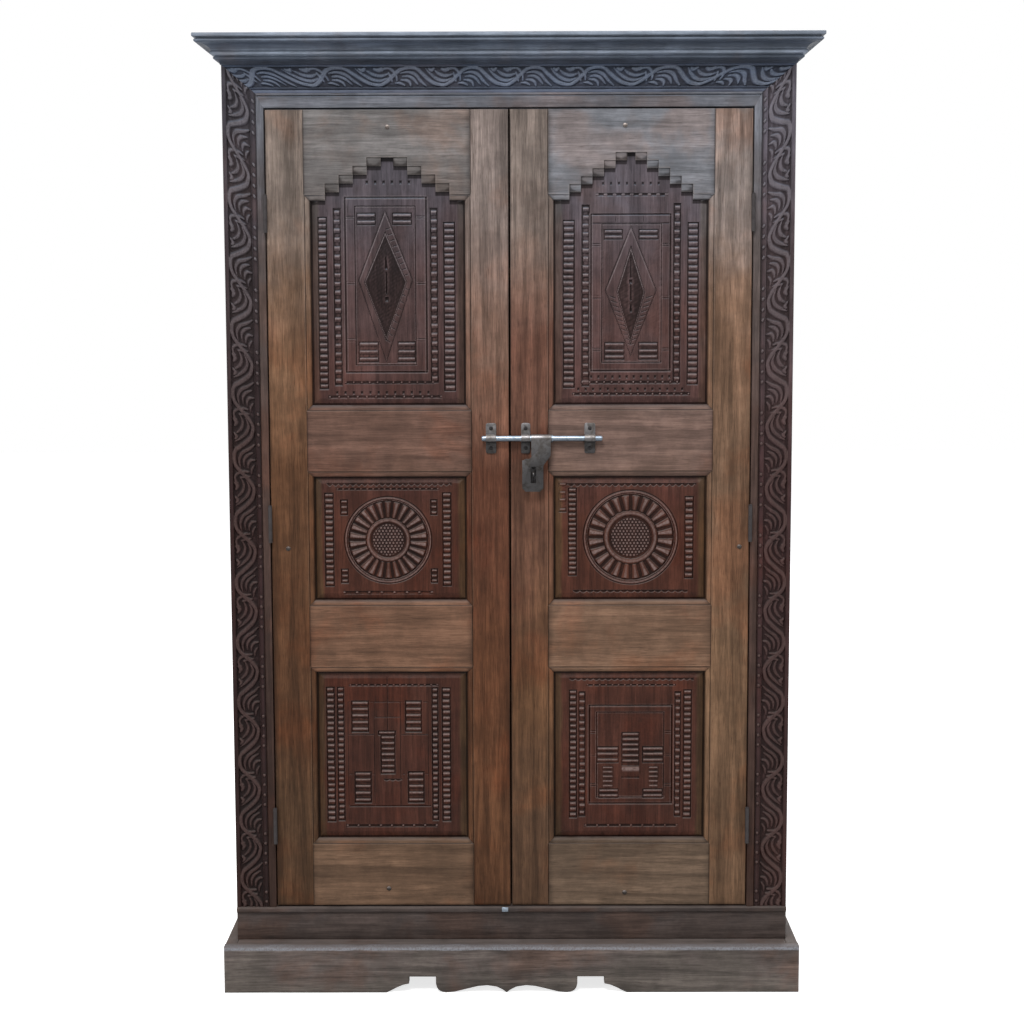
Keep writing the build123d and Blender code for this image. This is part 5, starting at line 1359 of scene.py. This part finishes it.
def frieze():
    width = FRIEZE_Z[1] - FRIEZE_Z[0]
    us, vs, depth, crest = carved_strip(width, 2 * JAMB_OUTER, FRIEZE_FILLET, 95, beads=False)
    straight = 0.4

    def mitred(U, V):
        out = np.clip(np.abs(V) / JAMB_OUTER - straight, 0, 1) / (1 - straight)
        return U, V + np.sign(V) * out * (HALF_WIDTH - JAMB_OUTER) * (U - FRIEZE_Z[0]) / width

    shells = slab(
        us + FRIEZE_Z[0], vs - JAMB_OUTER, FRONT + depth, FRAME_BACK, 5, along_frieze, warp=mitred,
        crest=crest,
    )
    piece("carved_frieze", shells, WOODS["frieze"], "carved_frame_wood", "frieze", CARVING_SHARP)


architrave("left", mirrored_front, 91, 0.88)
architrave("right", from_front, 93, 1.6)
frieze()

HEAD_QUIRK = 5.6  # below the head band's upper edge
BAND_SLOPE = 2.2  # width of the sloped edge of the other bands
MITRE_SHARE = 0.1  # of a band's length is bent to its mitre


def plain_band(name, node, across, along, place, warp, post, material, seed, quirk=0.0):
    """A plain mitred band with its post behind, its outer edge sloped or cut with a quirk."""
    us = lines(0, across, 4.0, (across - (quirk or BAND_SLOPE),), 2.4, 0.5)
    vs = lines(0, along, 12.0)
    U, V = us[:, None], vs[None, :]
    cut = 1 - np.abs(U - across + quirk) / 1.9 if quirk else (U - across + BAND_SLOPE) / BAND_SLOPE
    edge = eased(np.minimum(U, across - U) + 0 * V, 1.0 if quirk else 1.8)
    depth = np.maximum(edge, 3.2 * np.clip(cut, 0, 1))
    depth = depth + 0.25 * (1 + ripple(U, V, 120.0, seed)) + 0.2 * (1 + ripple(U, V, 30.0, seed + 1))
    shells = slab(us, vs, FRONT + depth, FRAME_BACK, 2, place, warp=warp)
    board(shells, *post)
    piece(name, shells, material, "carved_frame_wood", node)


def jambs():
    """The plain bands round the doorway: left, right and head."""
    width = JAMB_OUTER - DOORWAY_HALF
    height = DOORWAY_Z[1] - DOORWAY_Z[0]
    head = FRIEZE_Z[0] - DOORWAY_Z[1]
    inner = span_of("side_right")[0][0]
    post_y = (FRAME_BACK, span_of("jamb_right")[1][1])
    for side, sign in (("left", -1), ("right", 1)):

        def place(u, v, w, sign=sign):
            return np.stack([sign * (DOORWAY_HALF + u), w, DOORWAY_Z[0] + v], axis=-1)

        def mitred(U, V):
            up = np.clip((V / height - (1 - MITRE_SHARE)) / MITRE_SHARE, 0, 1)
            return U, V + up * head * U / width

        post = (sorted((sign * DOORWAY_HALF, sign * inner)), post_y, DOORWAY_Z)
        name, node = f"jamb_band_{side}", f"jamb_{side}"
        plain_band(name, node, width, height, place, mitred, post, WOODS["band"], 101 + sign)

    def level(u, v, w):
        return np.stack([v - DOORWAY_HALF, w, DOORWAY_Z[1] + u], axis=-1)

    def level_mitre(U, V):
        out = V - DOORWAY_HALF
        ends = np.clip((np.abs(out) / DOORWAY_HALF - (1 - MITRE_SHARE)) / MITRE_SHARE, 0, 1)
        return U, V + np.sign(out) * ends * width * U / head

    post = ((-inner, inner), post_y, (DOORWAY_Z[1], FRIEZE_Z[1]))
    plain_band(
        "head_band", "jamb_head", head, 2 * DOORWAY_HALF, level, level_mitre, post, WOODS["head_band"], 105,
        HEAD_QUIRK,
    )


jambs()

# ---------------------------------------------------------------- crown, threshold
CROWN_OVERHANG = 50.0
CROWN_EASE = 1.0


def crown_profile():
    """The moulding's section in (outwards, up): cove, two beads, cavetto, high bead and top fillet."""
    top = span_of("crown_front")[2][1]
    foot = FRIEZE_Z[1]
    face = CROWN_OVERHANG
    cove = arc_through((2.0, foot + 2.0), (3.6, foot + 6.2), (8.8, foot + 8.4), 7)
    low_bead = arc_through((10.2, foot + 9.2), (13.6, foot + 12.0), (11.6, foot + 14.6), 9)
    bead = arc_through((14.0, foot + 18.4), (19.4, foot + 21.6), (16.6, foot + 24.8), 9)
    cavetto = arc_through((16.0, foot + 25.8), (26.0, foot + 35.6), (41.6, top - 18.0), 12)
    high_bead = arc_through((42.4, top - 17.4), (46.6, top - 14.4), (43.4, top - 11.2), 9)
    return [
        (0.0, top), (0.0, foot), (1.6, foot), (2.0, foot + 0.4),
        *cove, *low_bead, (10.6, foot + 15.2), (10.6, foot + 17.6), *bead, *cavetto, *high_bead,
        (42.2, top - 10.4), (42.2, top - 8.2), (face - CROWN_EASE, top - 7.6), (face, top - 7.6 + CROWN_EASE),
        (face, top - 2 * CROWN_EASE), (face - 0.6 * CROWN_EASE, top - 0.6 * CROWN_EASE),
        (face - 2 * CROWN_EASE, top), (face / 2, top),
    ]


def crown():
    profile = crown_profile()
    back = span_of("side_left")[1][1]

    def front_run(t, out, up):
        sway = 0.25 * (1 + ripple(np.float64(t) * 600, up, 200.0, 111))
        out = out - sway * (out > 1) * (out < CROWN_OVERHANG - 0.1)
        return np.stack([t * (HALF_WIDTH + out), FRONT - out, up], axis=-1)

    shells = sweep(profile, np.linspace(-1, 1, 61), front_run)
    look = ("crown_wood", "crown_front", MOULDING_SHARP, EVEN_TONE)
    piece("crown_front_moulding", shells, WOODS["crown"], *look)
    for side, sign in (("left", -1), ("right", 1)):

        def return_run(t, out, up, sign=sign):
            y = (FRONT - out) * (1 - t) + back * t
            return np.stack([sign * (HALF_WIDTH + out), y, up], axis=-1)

        shells = sweep(profile, np.linspace(0, 1, 25), return_run)
        look = ("crown_wood", f"crown_{side}", MOULDING_SHARP, EVEN_TONE)
        piece(f"crown_{side}_moulding", shells, WOODS["crown_return"], *look)


NOSE = 3.0  # radius of the threshold's nosing


def threshold():
    x, y, z = span_of("threshold")
    near, far = y[0] + NOSE, y[0] + 0.3 * NOSE
    under = arc_through((near, z[0]), (far, z[0] + 0.3 * NOSE), (y[0], z[0] + NOSE), 5)
    over = arc_through((y[0], z[1] - NOSE), (far, z[1] - 0.3 * NOSE), (near, z[1]), 5)
    profile = [(y[1], z[0]), (near, z[0]), *under[1:], *over, (y[1], z[1])]

    def run(t, out, up):
        sway = 0.3 * (1 + ripple(np.float64(t), up, 150.0, 121)) * (out < near)
        return np.stack([np.full(len(out), t), out + sway, up], axis=-1)

    shells = sweep(profile, np.linspace(*x, 90), run)
    piece("threshold_strip", shells, WOODS["kick"], "case_wood", "threshold", MOULDING_SHARP)


crown()
threshold()

# ---------------------------------------------------------------- plinth
SCALLOP_CENTRE = -10.0
NOTCH = (147.0, 203.0)  # out from the centre on both sides
NOTCH_TOP = 34.0
SCALLOP_CURVE = [
    (0.0, 0.0), (8.0, 6.2), (20.0, 12.2), (40.0, 15.4), (60.0, 13.6), (85.0, 7.4), (108.0, 1.6), (125.0, 0.0),
]
SCALLOP_EAR = [(134.0, 1.4), (141.0, 5.0), (145.0, 11.0), (NOTCH[0], 19.0)]
SCALLOP_TAIL = [(NOTCH[1], 19.0), (215.0, 16.5), (228.0, 11.0), (240.0, 4.6), (250.0, 0.0)]


def scallop_height(x):
    """Underside of the front board at x."""
    notch = [(NOTCH[0] + HAIR, NOTCH_TOP), (NOTCH[1] - HAIR, NOTCH_TOP)]
    points = np.array([*SCALLOP_CURVE, *SCALLOP_EAR, *notch, *SCALLOP_TAIL])
    return np.interp(np.abs(x - SCALLOP_CENTRE), points[:, 0], points[:, 1], right=0.0)


def plinth():
    x, y, z = span_of("plinth_front")
    walls = (NOTCH[0] + HAIR / 2, NOTCH[1] - HAIR / 2)
    us = lines(*x, 9.0, [SCALLOP_CENTRE + side * wall for side in (-1, 1) for wall in walls], 6.0, 2.0)
    extra = SCALLOP_CENTRE + np.arange(-250, 251, 2.5)
    us = np.unique(np.concatenate([us, extra]).round(3))
    us = us[np.concatenate([[True], np.diff(us) > HAIR / 2])]
    low = scallop_height(us)[:, None]
    near_edges = [0.006, 0.02, 0.95, 0.965, 0.98, 0.99, 0.996]
    share = np.unique(np.concatenate([np.linspace(0, 1, 22), near_edges]))
    V = low + share * (z[1] - low)
    U = us[:, None] + 0 * V
    edge_top = eased(z[1] - V, 5.0)
    edge_low = eased(V - low, 1.8)
    ends = eased(np.minimum(U - x[0], x[1] - U), 3.0)
    waves = 0.5 * (1 + ripple(U, V, 190.0, 131)) + 0.25 * (1 + ripple(U, V, 40.0, 132))
    front = y[0] + np.maximum(np.maximum(edge_top, edge_low), ends) + np.where(edge_top > 1, 0, waves)

    def shaped(_, __):
        return U, V

    rubbed_and_highlit = soft((7.5 - (z[1] - V)) / 3) * (0.8 + 0.4 * ripple(U, V, 60.0, 133))
    shells = slab(us, share, front, y[1], 2, warp=shaped, crest=rubbed_and_highlit)
    piece("plinth_front_board", shells, WOODS["plinth"], "plinth_wood", "plinth_front")


plinth()
plain_board("plinth_left", "plinth_left_board", "plinth_side", "plinth_wood", 2.5)
plain_board("plinth_right", "plinth_right_board", "plinth_side", "plinth_wood", 2.5)
plain_board("plinth_back", "plinth_back_board", "plinth", "plinth_wood", 2.0)
plain_board("plinth_deck", "plinth_deck_board", "plinth", "inside_wood", 1.0)


# ---------------------------------------------------------------- case
def case_side(side, sign, seed):
    """A side of three upright boards, with the joints between them open a little."""
    x, y, z = span_of(f"side_{side}")
    joints = [y[0] + (y[1] - y[0]) * share for share in (0.31, 0.68)]
    us = lines(*y, 12.0, joints, 4.0, 1.0)
    vs = lines(*z, 22.0)
    U, V = us[:, None], vs[None, :]
    depth = eased(inset(U, V, y, z), 1.2)
    for joint in joints:
        depth = np.maximum(depth, 2.2 * np.clip(1 - np.abs(U - joint) / 1.6, 0, 1))
    depth = depth + 0.35 * (1 + ripple(U, V, 260.0, seed)) + 0.15 * (1 + ripple(U, V, 50.0, seed + 1))

    def place(u, v, w):
        return np.stack([sign * w, u, v], axis=-1)

    inner, outer = sorted(map(abs, x))
    shells = slab(us, vs, outer - depth, inner, 2, place)
    piece(f"case_side_{side}", shells, WOODS["side"], "case_wood", f"side_{side}")


case_side("left", -1, 141)
case_side("right", 1, 143)

PLANK_COUNT = 6
PLANK_GAP = 1.0
TONGUE_WIDTH = 7.0  # loose tongue that closes the joint between two back boards
TONGUE_THICKNESS = 4.0


def back_planks():
    x, y, z = span_of("back_boards")
    middle = (y[0] + y[1]) / 2
    tongue_y = (middle - TONGUE_THICKNESS / 2, middle + TONGUE_THICKNESS / 2)
    width = (x[1] - x[0] - (PLANK_COUNT - 1) * PLANK_GAP) / PLANK_COUNT
    shells = Shells()
    for number in range(PLANK_COUNT):
        start = x[0] + number * (width + PLANK_GAP)
        board(shells, (start, start + width), y, z, 2.0)
        if number:
            joint = start - PLANK_GAP / 2
            tongue_x = (joint - TONGUE_WIDTH / 2, joint + TONGUE_WIDTH / 2)
            board(shells, tongue_x, tongue_y, (z[0] + EASE, z[1] - EASE), 0.3)
    piece("back_planks", shells, WOODS["back"], "inside_wood", "back_boards")


back_planks()
plain_board("top_board", "case_top", "top", "crown_wood", 1.0)
plain_board("fascia", "crown_fascia", "crown", "crown_wood", 1.0)
plain_board("kick_board", "kick_plank", "kick", "case_wood", 1.6)
plain_board("floor_board", "floor_plank", "inside", "inside_wood", 1.2)
for level in ("lower", "middle", "upper"):
    plain_board(f"shelf_{level}", f"shelf_plank_{level}", "inside", "inside_wood", 1.6)
plain_board("door_stop", "door_stop_strip", "inside", "inside_wood", 1.0)


# ---------------------------------------------------------------- metalwork
TAB_THICKNESS = 3.0
TAB_ANGLE = 80.0  # between a tab's face and its edge
ARRIS_ANGLE = 32.0


def cad_solid(node):
    """A CAD node's mesh to work on, with its faces joined up."""
    work = bmesh.new()
    work.from_mesh(frame["nodes"][node].data)
    bmesh.ops.remove_doubles(work, verts=work.verts, dist=1e-6)
    return work


def arrises(work, angle):
    limit = math.radians(angle)
    return [e for e in work.edges if len(e.link_faces) == 2 and e.calc_face_angle() > limit]


def bevel(work, edges, width, segments, clamp):
    bmesh.ops.bevel(
        work, geom=edges, offset=width * MM, offset_type="OFFSET", segments=segments, profile=0.5,
        affect="EDGES", clamp_overlap=clamp,
    )


def is_tab_corner(edge):
    """Runs through a thin tab, front to back."""
    run = edge.verts[0].co - edge.verts[1].co
    return edge.calc_length() < TAB_THICKNESS * MM and abs(run.normalized().y) > 0.95


def softened(node, name, width, material, slot, bright=None, segments=2, corner=0.0):
    """A copy of a CAD node with its arrises rounded, painted brighter over a height if bright is (height,
    factor), as light on its upper part.

    A corner radius rounds the corners of its flat tabs as well.
    """
    work = cad_solid(node)
    bmesh.ops.dissolve_limit(work, angle_limit=math.radians(2), verts=work.verts, edges=work.edges)
    if corner:
        bevel(work, [e for e in arrises(work, TAB_ANGLE) if is_tab_corner(e)], corner, 4, False)
    bevel(work, arrises(work, ARRIS_ANGLE), width, segments, True)
    bmesh.ops.recalc_face_normals(work, faces=work.faces)
    mesh = bpy.data.meshes.new(name)
    work.to_mesh(mesh)
    work.free()
    paint = np.ones((len(mesh.vertices), 3))
    if bright:
        levels = np.array([vert.co.z for vert in mesh.vertices]) / MM
        paint *= (1 + (bright[1] - 1) * soft((levels - bright[0]) / 3))[:, None]
    flat = np.zeros(len(mesh.vertices))
    finish_mesh(mesh, flat, flat, EVEN_TONE, paint)
    stand_in(name, mesh, material, slot, node, METAL_SHARP)


ROD_PROFILE = [  # along the rod and its radius there: domed end, two collars, worn end
    (0.0, 0.0), (0.0, 3.6), (0.7, 4.9), (1.9, 5.6), (4.0, 5.75),
    (98.8, 5.75), (99.0, 7.0), (99.6, 7.2), (100.5, 7.2), (101.0, 6.9), (101.2, 5.75),
    (142.2, 5.75), (142.4, 7.0), (143.0, 7.2), (144.4, 7.2), (145.1, 6.9), (145.3, 5.6),
    (242.0, 5.5), (244.1, 5.2), (245.4, 4.3), (246.0, 3.0), (246.0, 0.0),
]


def rod():
    x, y, z = span_of("bolt_rod")
    middle = ((y[0] + y[1]) / 2, (z[0] + z[1]) / 2)

    def place(along, across, up):
        return np.stack([x[0] + along, middle[0] + across, middle[1] + up], axis=-1)

    shells = lathe(Shells(), ROD_PROFILE, place, 40)
    piece("sliding_rod", shells, BOLT_STEEL, "bolt_steel", "bolt_rod", 30.0)


def islands(node):
    """Middle of each separate solid of a node, in x and z, and where it starts and ends in y."""
    work = cad_solid(node)
    left = set(work.verts)
    found = []
    while left:
        stack, group = [left.pop()], []
        while stack:
            vert = stack.pop()
            group.append(np.array(vert.co) / MM)
            for edge in vert.link_edges:
                other = edge.other_vert(vert)
                if other in left:
                    left.discard(other)
                    stack.append(other)
        group = np.array(group)
        found.append((*(group.min(0) + group.max(0))[[0, 2]] / 2, group[:, 1].min(), group[:, 1].max()))
    work.free()
    return sorted(found)


BRIGHT_HEADS_FROM = 1500.0  # the nails at the head of the doors are less rusty
BRIGHT_HEAD = 2.6
SLOT_DEPTH = 0.9


def heads(node, name, radius, height, slot_width, material, slot):
    """Domed heads on short shanks, a little uneven; screws have a slot across them."""
    shells = Shells()
    rng = np.random.default_rng(len(name))
    for x, z, low, high in islands(node):
        tilt = rng.uniform(0, math.pi)
        squash = rng.uniform(0.92, 1.0, 2)
        turn = np.linspace(0, math.pi / 2, 8)
        dome = [(low + height * (1 - math.cos(t)), radius * math.sin(t)) for t in turn]
        profile = [*dome, (low + height, radius * 0.4), (high, radius * 0.36), (high, 0.0)]

        def place(along, across, up, x=x, z=z, tilt=tilt, squash=squash, low=low):
            beside = np.abs(across * math.cos(tilt) + up * math.sin(tilt))
            cut = SLOT_DEPTH * (beside < slot_width) * (along < low + height * 0.9)
            return np.stack([x + across * squash[0], along + cut, z + up * squash[1]], axis=-1)

        lathe(shells, profile, place, 24)
        shells.paint[-1] *= BRIGHT_HEAD if z > BRIGHT_HEADS_FROM else 1.0
    piece(name, shells, material, slot, node, 40.0)


rod()
BOLT_Z = sum(span_of("bolt_rod")[2]) / 2
# painted light: hasp, keeper and brackets are made brighter from just under the rod upwards
softened("hasp", "hasp_plate", 0.55, DARK_STEEL, "bolt_steel", (BOLT_Z - 8.0, 2.0))
softened("staple", "staple_plate", 0.35, DARK_STEEL, "bolt_steel")
softened("bolt_keeper", "keeper_strap", 0.45, DARK_STEEL, "bolt_steel", (BOLT_Z - 7.0, 2.2), corner=4.0)
softened("bolt_brackets", "bracket_straps", 0.45, DARK_STEEL, "bolt_steel", (BOLT_Z - 7.0, 2.2), corner=4.0)
softened("threshold_catch", "catch_plate", 0.4, BOLT_STEEL, "bolt_steel")
for side in ("keeper", "bracket"):
    heads(f"{side}_screws", f"{side}_screw_heads", 4.2, 1.8, 0.7, HINGE_IRON, "nail_iron")
for side in ("left", "right"):
    heads(f"{side}_nails", f"{side}_nail_heads", 5.0, 2.5, 0.0, NAIL_IRON, "nail_iron")
for node in ("frame_hinges", "hinge_pins", "left_door_hinges", "right_door_hinges"):
    softened(node, f"{node}_iron", 0.3, HINGE_IRON, "hinge_iron", segments=1)
for node in ("shelf_battens", "plinth_blocks"):
    softened(node, f"{node}_wood", 1.0, WOODS["inside"], "inside_wood")


# ---------------------------------------------------------------- camera, stage and light
CAMERA_PLACE = (0.020, -4.130, 1.431)  # metres
CAMERA_PITCH = 6.3  # degrees, like the next two
CAMERA_YAW = 0.218
CAMERA_ROLL = 0.17
FOCAL_PIXELS = 1919.0
IMAGE_PIXELS = 1024.0
SENSOR = 36.0


def camera():
    data = bpy.data.cameras.new("camera")
    data.sensor_fit = "HORIZONTAL"
    data.sensor_width = SENSOR
    data.lens = SENSOR * FOCAL_PIXELS / IMAGE_PIXELS
    view = linked("camera", data)
    view.location = CAMERA_PLACE
    view.rotation_euler = [math.radians(angle) for angle in (90 - CAMERA_PITCH, CAMERA_ROLL, CAMERA_YAW)]
    bpy.context.scene.camera = view


FLOOR_REACH = 14.0
FLOOR_SHADE = 0.80
FLOOR_LIFT = 0.76  # of what the camera sees, over the lit floor
WORLD_STRENGTH = 0.32  # as a light, under the white that is seen
WHITE = (1.0, 1.0, 1.0)


def stage():
    mesh = bpy.data.meshes.new("floor")
    r = FLOOR_REACH
    mesh.from_pydata([(-r, -r, 0), (r, -r, 0), (r, r, 0), (-r, r, 0)], [], [(0, 1, 2, 3)])
    floor = linked("floor", mesh)
    material = bpy.data.materials.new("pale_floor")
    n = Nodes(material)
    seen = n.add("ShaderNodeLightPath").outputs["Is Camera Ray"]
    grit = n.noise(n.add("ShaderNodeTexCoord").outputs["Object"], 30.0)
    shade = colour((FLOOR_SHADE, FLOOR_SHADE, FLOOR_SHADE))
    inputs = {"Base Color": shade, "Roughness": 0.9, "Specular IOR Level": 0.1}
    inputs.update({"Emission Color": colour(WHITE), "Emission Strength": n.times(seen, FLOOR_LIFT)})
    n.surface(inputs, grit, 0.03, 0.001)
    mesh.materials.append(material)

    world = bpy.data.worlds.new("studio")
    bpy.context.scene.world = world
    n = Nodes(world)
    ray = n.add("ShaderNodeLightPath").outputs
    through = n.maths("MAXIMUM", ray["Is Glossy Ray"], ray["Is Transmission Ray"])
    seen = n.maths("MAXIMUM", ray["Is Camera Ray"], through)
    limits = {"Value": seen, "To Min": WORLD_STRENGTH, "To Max": 1.0}
    strength = n.add("ShaderNodeMapRange", limits).outputs[0]
    background = n.add("ShaderNodeBackground", {"Color": colour(WHITE), "Strength": strength})
    n.add("ShaderNodeOutputWorld", {"Surface": background.outputs[0]})


LAMPS = [  # name, place, aimed at, width, height, watts
    ("overhead", (-0.9, -4.2, 6.4), (0.0, -0.2, 1.0), 2.4, 1.8, 350.0),
    ("left_fill", (-5.0, -3.0, 2.4), (0.0, 0.0, 1.0), 2.4, 2.4, 60.0),
    ("right_fill", (5.0, -1.0, 2.6), (0.0, 0.0, 1.0), 2.4, 2.4, 60.0),
    ("back_fill", (1.5, 5.0, 4.6), (0.0, 0.0, 1.0), 3.0, 3.0, 200.0),
]


def lamps():
    for name, place, aim, width, height, watts in LAMPS:
        data = bpy.data.lights.new(name, "AREA")
        data.shape = "RECTANGLE"
        data.size, data.size_y, data.energy = width, height, watts
        lamp = linked(name, data)
        lamp.location = place
        away = np.array(place) - np.array(aim)
        pitch = math.atan2(math.hypot(away[0], away[1]), away[2])
        lamp.rotation_euler = (pitch, 0, math.atan2(away[0], -away[1]))


camera()
stage()
lamps()
bpy.context.scene.view_settings.view_transform = "Standard"
